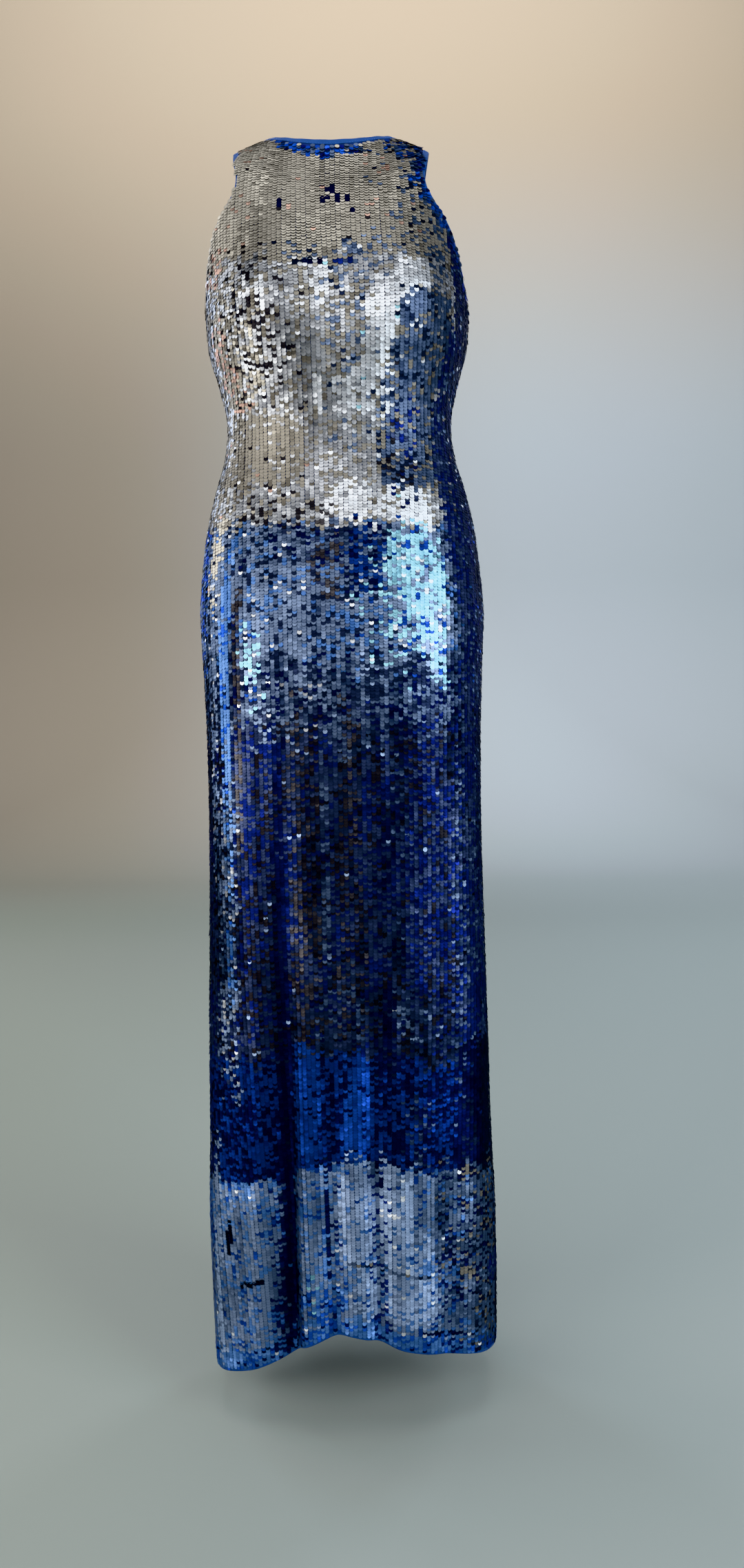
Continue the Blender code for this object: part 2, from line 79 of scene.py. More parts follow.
class Wire:
    """A socket's value that can be used in arithmetic."""

    def __init__(self, graph: "Graph", socket: bpy.types.NodeSocket) -> None:
        """Keep the graph that the socket belongs to."""
        self.graph = graph
        self.socket = socket

    def _math(self, operation: str, *values: Any) -> "Wire":
        """Result of a Math node with numbers or wires in its sockets."""
        inputs = dict(enumerate(values))
        return self.graph.node("ShaderNodeMath", {"operation": operation}, inputs)[0]

    def __add__(self, other: Any) -> "Wire":
        """Sum."""
        return self._math("ADD", self, other)

    def __radd__(self, other: Any) -> "Wire":
        """Sum with a number on the left."""
        return self._math("ADD", other, self)

    def __sub__(self, other: Any) -> "Wire":
        """Difference."""
        return self._math("SUBTRACT", self, other)

    def __rsub__(self, other: Any) -> "Wire":
        """Difference with a number on the left."""
        return self._math("SUBTRACT", other, self)

    def __mul__(self, other: Any) -> "Wire":
        """Product."""
        return self._math("MULTIPLY", self, other)

    def __pow__(self, other: Any) -> "Wire":
        """Power."""
        return self._math("POWER", self, other)

    def __abs__(self) -> "Wire":
        """Distance from zero."""
        return self._math("ABSOLUTE", self)

    def part(self) -> "Wire":
        """Fraction left after the whole number."""
        return self._math("FRACT", self)

    def wave(self) -> "Wire":
        """Sine of the value in radians."""
        return self._math("SINE", self)

    def eased(self, low: float, high: float) -> "Wire":
        """Smooth step from 0 at low to 1 at high."""
        inputs = {0: self, 1: low, 2: high, 3: 0.0, 4: 1.0}
        return self.graph.node("ShaderNodeMapRange", SMOOTH_STEP, inputs)[0]


class Graph:
    """Node tree of one material, written as expressions."""

    def __init__(self, name: str) -> None:
        """Make the material with only its output and main shader.

        Args:
            name: name of the material.
        """
        self.material = bpy.data.materials.new(name)
        self.material.use_nodes = True
        self.tree = self.material.node_tree
        self.shader = self.tree.nodes["Principled BSDF"]

    def node(
        self,
        kind: str,
        settings: Mapping[str, Any] | None = None,
        inputs: Mapping[Any, Any] | None = None,
    ) -> list[Wire]:
        """Add one node.

        Args:
            kind: Blender's type of the node.
            settings: values set on the node first, by name.
            inputs: numbers, tuples or wires, by socket name or number.

        Returns:
            The node's outputs.
        """
        made = self.tree.nodes.new(kind)
        for key, value in (settings or {}).items():
            setattr(made, key, value)
        for key, value in (inputs or {}).items():
            self._feed(made.inputs[key], value)
        return [Wire(self, socket) for socket in made.outputs]

    def _feed(self, socket: bpy.types.NodeSocket, value: Any) -> None:
        """Link a wire to a socket, or set its number.

        Args:
            socket: input of a node.
            value: wire, number or tuple.
        """
        if isinstance(value, Wire):
            self.tree.links.new(value.socket, socket)
        else:
            socket.default_value = value

    def mixed(self, factor: Any, first: Any, second: Any) -> Wire:
        """Mix two colours.

        Args:
            factor: share of the second.
            first: colour tuple or wire.
            second: colour tuple or wire.

        Returns:
            The mixed colour.
        """
        settings = {"data_type": "RGBA", "blend_type": "MIX", "clamp_factor": True}
        first = first if isinstance(first, Wire) else (*first, 1.0)
        second = second if isinstance(second, Wire) else (*second, 1.0)
        return self.node("ShaderNodeMix", settings, {0: factor, 6: first, 7: second})[2]

    def noise(self, where: Wire, scale: float, detail: float = 2.0) -> Wire:
        """Smooth noise between 0 and 1, of so many lumps in a metre."""
        inputs = {"Vector": where, "Scale": scale, "Detail": detail}
        return self.node("ShaderNodeTexNoise", {"noise_dimensions": "3D"}, inputs)[0]

    def cut_place(self) -> list[Wire]:
        """Coordinates on the flat cut, in metres: across, along and nothing."""
        where = self.node("ShaderNodeUVMap", {"uv_map": "cut"})[0]
        return self.node("ShaderNodeSeparateXYZ", None, {0: where})

    def object_place(self) -> Wire:
        """Coordinates on the piece itself, in metres."""
        return self.node("ShaderNodeTexCoord")[3]

    def bump(self, height: Wire, distance: float, strength: float = 1.0) -> None:
        """Raise the surface by a height between 0 and 1, up to a distance in metres."""
        inputs = {"Strength": strength, "Distance": distance, "Height": height}
        self._feed(self.shader.inputs["Normal"], self.node("ShaderNodeBump", None, inputs)[0])

    def finish(self, **sockets: Any) -> Material:
        """Fill the main shader's sockets.

        Args:
            sockets: values by socket name, with _ for each space.

        Returns:
            The finished material.
        """
        for key, value in sockets.items():
            socket = self.shader.inputs[key.replace("_", " ")]
            if not isinstance(value, Wire) and socket.type == "RGBA":
                value = (*value, 1.0)
            self._feed(socket, value)
        return self.material


# ---- Finishes ----
@dataclass(frozen=True)
class Finish:
    """Surface between a deep and a bright tone."""

    name: str
    deep: Colour
    bright: Colour


@dataclass(frozen=True)
class JerseyFinish(Finish):
    """Fine knitted cloth, its loops in upright wales."""

    wale: float = 0.0011
    course: float = 0.0009
    roughness: float = 0.78
    raise_by: float = 0.00022
    lumps: float = 90.0
    wear: float = 14.0

    def material(self) -> Material:
        """Build the node tree of the knit.

        Returns:
            The material.
        """
        graph = Graph(self.name)
        across, along, _ = graph.cut_place()
        wale = (across * (1.0 / self.wale)).part()
        slope = abs(wale - 0.5)
        loop = (along * (1.0 / self.course) + slope).part()
        ridge = (loop * math.pi).wave()
        leg = (wale * (2.0 * math.pi)).wave()
        height = ridge * 0.7 + abs(leg) * 0.3
        lumps = graph.noise(graph.object_place(), self.lumps, 3.0)
        wear = graph.noise(graph.object_place(), self.wear)
        # painted shade: the loops' tops lighter and the hollows between them darker, mixed with
        # lumps and wear of the yarn
        tone_and_shade = height * 0.55 + lumps * 0.25 + wear * 0.2
        colour = graph.mixed(tone_and_shade.eased(0.12, 0.88), self.deep, self.bright)
        graph.bump(height * 0.8 + lumps * 0.2, self.raise_by, 0.8)
        return graph.finish(
            Base_Color=colour,
            Roughness=self.roughness - wear * 0.12,
            Sheen_Weight=0.08,
            Sheen_Roughness=0.45,
            Specular_IOR_Level=0.2,
        )


@dataclass(frozen=True)
class WovenFinish(Finish):
    """Closely woven tape."""

    thread: float = 0.0005
    roughness: float = 0.7
    raise_by: float = 0.00012
    lumps: float = 120.0
    wear: float = 16.0

    def material(self) -> Material:
        """Build the node tree of the weave.

        Returns:
            The material.
        """
        graph = Graph(self.name)
        across, along, _ = graph.cut_place()
        turn = math.pi / self.thread
        warp = (across * turn).wave()
        weft = (along * turn).wave()
        height = warp * weft * 0.5 + 0.5
        lumps = graph.noise(graph.object_place(), self.lumps, 3.0)
        wear = graph.noise(graph.object_place(), self.wear)
        # painted shade: the threads' crowns lighter and the hollows between them darker, mixed
        # with lumps and wear of the yarn
        tone_and_shade = height * 0.4 + lumps * 0.3 + wear * 0.3
        colour = graph.mixed(tone_and_shade.eased(0.15, 0.85), self.deep, self.bright)
        graph.bump(height, self.raise_by, 0.7)
        return graph.finish(
            Base_Color=colour,
            Roughness=self.roughness - wear * 0.15,
            Sheen_Weight=0.03,
            Specular_IOR_Level=0.2,
        )


@dataclass(frozen=True)
class ThreadFinish(Finish):
    """Twisted sewing thread."""

    roughness: float = 0.55
    twist: float = 2400.0
    wear: float = 40.0
    raise_by: float = 0.0001

    def material(self) -> Material:
        """Build the node tree of the thread.

        Returns:
            The material.
        """
        graph = Graph(self.name)
        where = graph.object_place()
        twist = graph.noise(where, self.twist, 1.0)
        wear = graph.noise(where, self.wear)
        colour = graph.mixed(twist * 0.7 + wear * 0.3, self.deep, self.bright)
        graph.bump(twist, self.raise_by, 0.5)
        return graph.finish(
            Base_Color=colour, Roughness=self.roughness + twist * 0.1, Sheen_Weight=0.2
        )


@dataclass(frozen=True)
class NylonFinish(Finish):
    """Moulded nylon of the zip's coil."""

    roughness: float = 0.38
    flow: float = 900.0
    wear: float = 60.0
    raise_by: float = 0.00005

    def material(self) -> Material:
        """Build the node tree of the nylon.

        Returns:
            The material.
        """
        graph = Graph(self.name)
        where = graph.object_place()
        flow = graph.noise(where, self.flow)
        wear = graph.noise(where, self.wear)
        colour = graph.mixed(flow * 0.5 + wear * 0.5, self.deep, self.bright)
        graph.bump(flow, self.raise_by, 0.5)
        return graph.finish(Base_Color=colour, Roughness=self.roughness + wear * 0.15)


@dataclass(frozen=True)
class MetalFinish(Finish):
    """Polished die-cast metal, a little cloudy, with fine scratches."""

    roughness: float = 0.22
    cloud: float = 260.0
    scratch: float = 900.0
    scratch_stretch: Triple = (9.0, 1.0, 1.0)
    raise_by: float = 0.00004

    def material(self) -> Material:
        """Build the node tree of the metal.

        Returns:
            The material.
        """
        graph = Graph(self.name)
        where = graph.object_place()
        cloud = graph.noise(where, self.cloud, 3.0)
        stretch = graph.node(
            "ShaderNodeMapping", None, {"Vector": where, "Scale": self.scratch_stretch}
        )[0]
        scratch = graph.noise(stretch, self.scratch, 4.0).eased(0.48, 0.62)
        colour = graph.mixed(cloud.eased(0.3, 0.7), self.deep, self.bright)
        graph.bump(scratch * 0.4 + cloud * 0.6, self.raise_by, 0.4)
        return graph.finish(
            Base_Color=colour,
            Roughness=self.roughness + scratch * 0.12 + cloud * 0.08,
            Metallic=1.0,
        )


@dataclass(frozen=True)
class SequinFinish(Finish):
    """Metallised film disc with a pricked hole, pressed rings and painted shade towards its rim.
    """

    roughness: float
    edge: Colour = (0.35, 0.36, 0.40)
    metallic: float = 0.88
    hole_at: float = 0.62
    hole_radius: float = 0.13
    rim_starts: float = 0.70
    rim_ends: float = 0.98
    ring_rate: float = 14.0
    raise_by: float = 0.00005

    def material(self) -> Material:
        """Build the node tree, which reads how light each disc is.

        Returns:
            The material.
        """
        graph = Graph(self.name)
        disc = graph.node("ShaderNodeUVMap", {"uv_map": "disc"})[0]
        across, along, _ = graph.node("ShaderNodeSeparateXYZ", None, {0: disc})
        level = graph.node("ShaderNodeAttribute", {"attribute_name": "level"})[2]
        reach = (across * across + along * along) ** 0.5
        rise = along - self.hole_at
        from_hole = (across * across + rise * rise) ** 0.5
        hole = 1.0 - from_hole.eased(self.hole_radius * 0.7, self.hole_radius * 1.3)
        rim = reach.eased(self.rim_starts, self.rim_ends)
        rings = (reach * self.ring_rate).wave() * 0.5 + 0.5
        film = graph.mixed(level, self.deep, self.bright)
        # painted shade: the film darkens towards the disc's rim
        rim_shaded = graph.mixed(rim * 0.34, film, self.deep)
        pricked = graph.mixed(hole * 0.5, rim_shaded, self.deep)
        graph.bump(rings * 0.3 + rim * 0.7 - hole * 0.6, self.raise_by, 0.3)
        return graph.finish(
            Base_Color=pricked,
            Roughness=self.roughness + rim * 0.08 + rings * 0.04,
            Metallic=self.metallic,
            Specular_Tint=self.edge,
        )


@dataclass(frozen=True)
class StageFinish:
    """Matt painted surface of the studio, darker and warmer on one side as painted shade, and
    lighter near the top of the wall as painted light.
    """

    name: str = "studio_paint"
    # painted shade and light: the warm side and its floor are darker, the cool side and its floor
    # lighter, and high is the lighter colour near the top of the wall
    shaded_warm: Colour = (0.322, 0.283, 0.235)
    lit_cool: Colour = (0.462, 0.515, 0.565)
    high: Colour = (0.45, 0.38, 0.30)
    shaded_warm_floor: Colour = (0.185, 0.200, 0.172)
    lit_cool_floor: Colour = (0.225, 0.262, 0.268)
    grey: Colour = (0.3, 0.3, 0.3)
    sides: tuple[float, float] = (-1.3, 0.9)
    heights: tuple[float, float] = (0.2, 1.9)
    depths: tuple[float, float] = (2.3, 4.2)
    cloud: float = 1.3
    roughness: float = 0.9

    def material(self) -> Material:
        """Build the node tree of the paint.

        Returns:
            The material.
        """
        graph = Graph(self.name)
        where = graph.object_place()
        side, depth, height = graph.node("ShaderNodeSeparateXYZ", None, {0: where})
        cloud = graph.noise(where, self.cloud)
        across = side.eased(*self.sides)
        # painted shade towards the warm side and painted light high on the wall
        wall = graph.mixed(across, self.shaded_warm, self.lit_cool)
        wall = graph.mixed(height.eased(*self.heights), wall, self.high)
        floor = graph.mixed(across, self.shaded_warm_floor, self.lit_cool_floor)
        colour = graph.mixed(depth.eased(*self.depths), floor, wall)
        grain = graph.mixed(cloud * 0.06, colour, self.grey)
        return graph.finish(
            Base_Color=grain, Roughness=self.roughness, Specular_IOR_Level=0.2
        )


# ---- Form of the gown ----
@dataclass(frozen=True)
class Curve:
    """Smooth curve through keyed values, carried on straight past its ends."""

    keys: tuple[float, ...]
    values: tuple[float, ...]

    def at(self, key: Array | float) -> Array:
        """Values of the curve.

        Args:
            key: where to read it.

        Returns:
            One value for each key.
        """
        keys = np.asarray(self.keys)
        values = np.asarray(self.values)
        last = len(keys) - 1
        before = np.maximum(np.arange(last + 1) - 1, 0)
        after = np.minimum(np.arange(last + 1) + 1, last)
        slopes = (values[after] - values[before]) / (keys[after] - keys[before])
        low = np.clip(np.searchsorted(keys, key, side="right") - 1, 0, last - 1)
        span = keys[low + 1] - keys[low]
        t = (np.asarray(key, float) - keys[low]) / span
        start = slopes[low] * span
        end = slopes[low + 1] * span
        rise = values[low + 1] - values[low]
        inside = (
            values[low]
            + start * t
            + (3.0 * rise - 2.0 * start - end) * t**2
            + (start + end - 2.0 * rise) * t**3
        )
        under = values[low] + start * t
        past = values[low + 1] + end * (t - 1.0)
        return np.where(t < 0.0, under, np.where(t > 1.0, past, inside))


@dataclass(frozen=True)
class Fold:
    """Trough in the skirt that deepens from where it starts down to the hem."""

    starts_at: float
    turn_at_start: float
    turn_at_hem: float
    depth: float
    half_width: float


def bell(distance: Array, spread: float) -> Array:
    """Smooth bump of height 1."""
    return np.exp(-((distance / spread) ** 2))


def wrapped(turn: Array | float) -> Array:
    """The same angle between -180 and 180 degrees."""
    return (np.asarray(turn, float) + 180.0) % 360.0 - 180.0


RING_COLUMNS = (
    "side_height", "half_width", "front", "back", "front_dip", "back_dip",
    "squareness", "shift",
)
RINGS = {
    -1.405: (-1.405, 0.1735, 0.1060, 0.1120, 0.0000, 0.0000, 2.45, 0.0025),
    -1.235: (-1.235, 0.1735, 0.1060, 0.1120, 0.0000, 0.0000, 2.50, 0.0010),
    -1.128: (-1.128, 0.1690, 0.1060, 0.1115, 0.0000, 0.0000, 2.60, 0.0000),
    -0.946: (-0.946, 0.1635, 0.1070, 0.1110, 0.0000, 0.0000, 2.65, 0.0000),
    -0.770: (-0.770, 0.1580, 0.1090, 0.1120, 0.0000, 0.0000, 2.65, 0.0000),
    -0.640: (-0.640, 0.1565, 0.1110, 0.1165, 0.0000, 0.0000, 2.60, 0.0000),
    -0.560: (-0.560, 0.1585, 0.1120, 0.1210, 0.0000, 0.0000, 2.50, 0.0000),
    -0.496: (-0.496, 0.1605, 0.1100, 0.1190, 0.0000, 0.0000, 2.40, 0.0000),
    -0.444: (-0.444, 0.1560, 0.1040, 0.1070, 0.0000, 0.0000, 2.30, 0.0000),
    -0.400: (-0.400, 0.1495, 0.0970, 0.0930, 0.0000, 0.0000, 2.25, 0.0000),
    -0.360: (-0.360, 0.1395, 0.0920, 0.0830, 0.0000, 0.0000, 2.20, 0.0000),
    -0.325: (-0.325, 0.1285, 0.0900, 0.0785, 0.0000, 0.0000, 2.20, 0.0000),
    -0.285: (-0.285, 0.1245, 0.0960, 0.0810, 0.0000, 0.0000, 2.20, 0.0000),
    -0.245: (-0.245, 0.1325, 0.1080, 0.0880, 0.0000, 0.0000, 2.25, 0.0000),
    -0.213: (-0.213, 0.1415, 0.1180, 0.0930, 0.0000, 0.0000, 2.30, 0.0000),
    -0.180: (-0.180, 0.1440, 0.1230, 0.0965, 0.0000, 0.0000, 2.35, 0.0000),
    -0.150: (-0.150, 0.1435, 0.1230, 0.0985, 0.0040, 0.0030, 2.35, -0.0010),
    -0.120: (-0.118, 0.1440, 0.1200, 0.0985, 0.0150, 0.0110, 2.30, -0.0020),
    -0.085: (-0.080, 0.1430, 0.1125, 0.0965, 0.0310, 0.0230, 2.20, -0.0030),
    -0.050: (-0.042, 0.1385, 0.1025, 0.0925, 0.0460, 0.0340, 2.15, -0.0035),
    -0.020: (-0.012, 0.1270, 0.0920, 0.0865, 0.0540, 0.0410, 2.10, -0.0040),
    0.000: (0.000, 0.1070, 0.0825, 0.0790, 0.0490, 0.0370, 2.05, -0.0040),
    0.020: (0.008, 0.0880, 0.0730, 0.0675, 0.0360, 0.0250, 2.00, -0.0040),
    0.041: (0.0155, 0.0680, 0.0640, 0.0565, 0.0225, 0.0120, 2.00, -0.0040),
}
SCOOP_CLOCKS = (0, 18, 36, 54, 72, 90, 108, 126, 144, 162, 180)
SCOOP_FRONT = (0.0, 15.5, 27.0, 34.5, 34.5, 29.0, 24.5, 20.5, 15.0, 8.0, 0.0)
SCOOP_BACK = (0.0, 14.0, 25.0, 31.5, 32.0, 28.0, 23.5, 19.5, 14.0, 7.5, 0.0)
RISE_TURNS = (-180, -120, -90, -75, -60, -45, -28, -8, 10, 27, 45, 62, 78, 90, 125, 180)
RISE_HEIGHTS = (
    0.000, 0.002, 0.008, 0.010, 0.022, 0.043, 0.069, 0.082, 0.077, 0.063, 0.051,
    0.038, 0.025, 0.016, 0.003, 0.000,
)
FOLDS = (
    Fold(-0.66, -33.0, -38.0, 0.0150, 7.0),
    Fold(-0.88, -9.0, -11.0, 0.0045, 6.0),
    Fold(-0.74, 14.0, 18.0, 0.0065, 6.5),
    Fold(-0.58, 52.0, 53.0, 0.0060, 7.5),
    Fold(-0.95, -70.0, -68.0, -0.0040, 8.0),
    Fold(-0.70, 118.0, 121.0, 0.0100, 8.0),
    Fold(-0.90, 150.0, 152.0, 0.0060, 7.0),
    Fold(-0.76, -166.0, -163.0, 0.0080, 7.5),
    Fold(-0.64, -127.0, -124.0, 0.0090, 8.0),
)


def ring_curves() -> dict[str, Curve]:
    """Draw a curve through each column of the rings.

    Returns:
        The curves, by the name of their column.
    """
    stations = tuple(RINGS)
    rows = list(RINGS.values())
    return {
        name: Curve(stations, tuple(row[index] for row in rows))
        for index, name in enumerate(RING_COLUMNS)
    }


@dataclass(frozen=True)
class GownForm:
    """Outer face of the worn cloth, as the solids have it."""

    seam_gap: float = 0.0003
    neck_edge: float = 0.041
    underarm: float = -0.165
    slit_top: float = -1.12
    hem: float = -1.405
    hem_band: float = 0.020
    slit_half_gap: float = 0.010
    zip_width: float = 0.006
    zip_end: float = -0.50
    rise_starts: float = -0.75
    rise_power: float = 1.2
    cup_turn: float = 35.0
    cup_spread: float = 17.0
    cup_station: float = -0.178
    cup_height: float = 0.050
    cup_rise: float = 0.010
    ridge_share: float = 0.42
    ridge_offset: float = 1.7
    fold_growth: float = 0.75
    fold_reach: float = 4.0
    dip_power: float = 1.5
    beside_seam: float = 2.0
    turn_step: float = 0.4
    station_step: float = 0.001
    rings: dict[str, Curve] = field(default_factory=ring_curves)
    rises: Curve = Curve(RISE_TURNS, RISE_HEIGHTS)
    scoop_front: Curve = Curve(SCOOP_CLOCKS, SCOOP_FRONT)
    scoop_back: Curve = Curve(SCOOP_CLOCKS, SCOOP_BACK)

    def fold_offset(self, turn: Array, station: Array) -> Array:
        """How far the folds move the cloth out from the plain surface.

        Args:
            turn: degrees round the body.
            station: metres up the side line.

        Returns:
            Metres out, less than 0 in a trough.
        """
        total = np.zeros(np.broadcast(turn, station).shape)
        for fold in FOLDS:
            share = (fold.starts_at - station) / (fold.starts_at - self.hem)
            share = np.clip(share, 0.0, 1.0)
            centre = fold.turn_at_start + (fold.turn_at_hem - fold.turn_at_start) * share
            off = wrapped(turn - centre)
            ridge = self.ridge_offset * fold.half_width
            shape = (
                self.ridge_share * bell(off - ridge, fold.half_width)
                + self.ridge_share * bell(off + ridge, fold.half_width)
                - bell(off, fold.half_width)
            )
            growth = (share * share * (3.0 - 2.0 * share)) ** self.fold_growth
            near = np.abs(off) <= self.fold_reach * fold.half_width
            total = total + fold.depth * growth * shape * near
        return total

    def surface(self, turn: Array | float, station: Array | float) -> Array:
        """Points of the cloth's outer face.

        Args:
            turn: degrees round the body.
            station: metres up the side line.

        Returns:
            One point for each pair, in a last axis of three.
        """
        turn, station = np.broadcast_arrays(
            np.asarray(turn, float), np.asarray(station, float)
        )
        across = np.sin(np.radians(turn))
        forward = np.cos(np.radians(turn))
        ring = {name: curve.at(station) for name, curve in self.rings.items()}
        depth = np.where(forward > 0.0, ring["front"], ring["back"])
        dip = np.where(forward > 0.0, ring["front_dip"], ring["back_dip"])
        power = ring["squareness"]
        radius = (
            (np.abs(across) / ring["half_width"]) ** power
            + (np.abs(forward) / depth) ** power
        ) ** (-1.0 / power)
        cups = bell(np.abs(wrapped(turn)) - self.cup_turn, self.cup_spread)
        cups = self.cup_rise * cups * bell(station - self.cup_station, self.cup_height)
        radius = radius + self.fold_offset(turn, station) + cups
        height = ring["side_height"] - dip * np.abs(forward) ** self.dip_power
        share = (self.rise_starts - station) / (self.rise_starts - self.hem)
        share = np.maximum(share, 0.0) ** self.rise_power
        height = height + self.rises.at(wrapped(turn)) * share
        x = radius * across + ring["shift"]
        return np.stack([x, -radius * forward, height], axis=-1)

    def axes(self, turn: Array, station: Array) -> tuple[Array, Array, Array]:
        """Directions of the cloth.

        Args:
            turn: degrees round the body.
            station: metres up the side line.

        Returns:
            Unit vectors round the body, up along the cloth and out of it.
        """
        around = self.surface(turn + self.turn_step, station)
        around = around - self.surface(turn - self.turn_step, station)
        up = self.surface(turn, station + self.station_step)
        up = up - self.surface(turn, station - self.station_step)
        out = unit(np.cross(around, up))
        up = unit(up)
        return np.cross(up, out), up, out

    def cloth(self, turn: Array, station: Array, out: Array | float = 0.0) -> Array:
        """Points of the cloth off its outer face.

        Args:
            turn: degrees round the body.
            station: metres up the side line.
            out: metres out from the face.

        Returns:
            One point for each set, in a last axis of three.
        """
        turn, station, out = np.broadcast_arrays(
            np.asarray(turn, float), np.asarray(station, float), np.asarray(out, float)
        )
        return self.surface(turn, station) + self.axes(turn, station)[2] * out[..., None]

    def turns_for(self, length: Array, station: Array, side_turn: Array) -> Array:
        """Degrees of turn that a short length round the body covers, near one turn."""
        step = self.surface(side_turn + 0.5, station) - self.surface(side_turn - 0.5, station)
        return length / np.linalg.norm(step, axis=-1)

    def armhole_edge(self, clock: Array) -> tuple[Array, Array]:
        """The open armhole's edge.

        Args:
            clock: degrees round the hole, 0 at the shoulder and less than 180 in front.

        Returns:
            Turn and station at each place of the clock.
        """
        middle = 0.5 * self.underarm
        station = middle - middle * np.cos(np.radians(clock))
        off = wrapped(clock)
        front = SIDE_SEAM - self.scoop_front.at(np.abs(off))
        back = SIDE_SEAM + self.scoop_back.at(np.abs(off))
        return np.where(off >= 0.0, front, back), station

    def armhole_line(self, clock: Array, width: Array | float) -> tuple[Array, Array]:
        """Line that follows the armhole's edge.

        Args:
            clock: degrees round the hole.
            width: metres away from the hole, along the cloth.

        Returns:
            Turn and station at each place of the clock.
        """
        clock = np.asarray(clock, float)
        turn, station = self.armhole_edge(clock)
        before = self.armhole_edge(clock - 1.0)
        after = self.armhole_edge(clock + 1.0)
        metres = 1.0 / self.turns_for(np.ones_like(turn), station, turn)
        along_turn = (after[0] - before[0]) * metres
        along_station = after[1] - before[1]
        length = np.hypot(along_turn, along_station)
        moved_turn = turn + along_station / length * width / metres
        return moved_turn, station - along_turn / length * width

    def side_edge(self, station: Array, behind: bool, inset: Array | float = 0.0) -> Array:
        """Side edge of a panel.

        Args:
            station: metres up the side line.
            behind: whether the panel is a back one.
            inset: metres in from the edge.

        Returns:
            Turn of the edge on the wearer's left.
        """
        station = np.asarray(station, float)
        share = np.maximum(0.0, (self.slit_top - station) / (self.slit_top - self.hem))
        half_seam = 0.5 * self.seam_gap
        length = half_seam + (self.slit_half_gap - half_seam) * share + inset
        way = 1.0 if behind else -1.0
        beside = SIDE_SEAM + way * self.beside_seam
        return SIDE_SEAM + way * self.turns_for(length, station, beside)

    def zip_edge(self, station: Array) -> Array:
        """Turn of a back panel's middle edge, away from the centre back."""
        beside_zip = np.where(station > self.zip_end, 0.5 * (self.zip_width + self.seam_gap), 0.0)
        return self.turns_for(beside_zip + 0.5 * self.seam_gap, station, CENTRE_BACK)

    def panel_turn(
        self, edge: Array, station: Array, share: Array, behind: bool, side: int
    ) -> Array:
        """Place across a panel.

        Args:
            edge: turn of its side edge.
            station: metres up the side line.
            share: share of the way across.
            behind: whether the panel is a back one.
            side: 1 on the wearer's left, -1 on the right.

        Returns:
            The turn.
        """
        if not behind:
            return edge * (2.0 * share - 1.0)
        middle = CENTRE_BACK - self.zip_edge(station)
        return side * (edge + (middle - edge) * share)


def unit(vectors: Array) -> Array:
    """Vectors brought to a length of 1."""
    return vectors / np.linalg.norm(vectors, axis=-1, keepdims=True)


FORM = GownForm()


# ---- Meshes ----
@dataclass
class MeshDraft:
    """Points and faces of one piece before it becomes a Blender object."""

    name: str
    points: Array
    faces: Array
    face_uv: Array | None = None

    def build(self, smooth: bool = True, sharp: float = 40.0) -> Piece:
        """Make the object.

        Args:
            smooth: shade it smooth.
            sharp: degrees above which an edge stays sharp.

        Returns:
            The new object, linked to the scene.
        """
        mesh = bpy.data.meshes.new(self.name)
        count, corners = self.faces.shape
        mesh.vertices.add(len(self.points))
        mesh.vertices.foreach_set("co", self.points.astype(np.float32).ravel())
        mesh.loops.add(count * corners)
        mesh.loops.foreach_set("vertex_index", self.faces.astype(np.int32).ravel())
        mesh.polygons.add(count)
        starts = np.arange(0, count * corners, corners, dtype=np.int32)
        mesh.polygons.foreach_set("loop_start", starts)
        mesh.update(calc_edges=True)
        if self.face_uv is not None:
            self.add_uv(mesh, "cut", self.face_uv)
        if smooth:
            mesh.shade_smooth()
            mesh.set_sharp_from_angle(angle=math.radians(sharp))
        else:
            mesh.shade_flat()
        piece = bpy.data.objects.new(self.name, mesh)
        bpy.context.scene.collection.objects.link(piece)
        return piece

    @staticmethod
    def add_uv(mesh: bpy.types.Mesh, name: str, values: Array) -> None:
        """Give a mesh a UV map, a pair of values for each face corner."""
        layer = mesh.uv_layers.new(name=name)
        layer.data.foreach_set("uv", values.astype(np.float32).ravel())


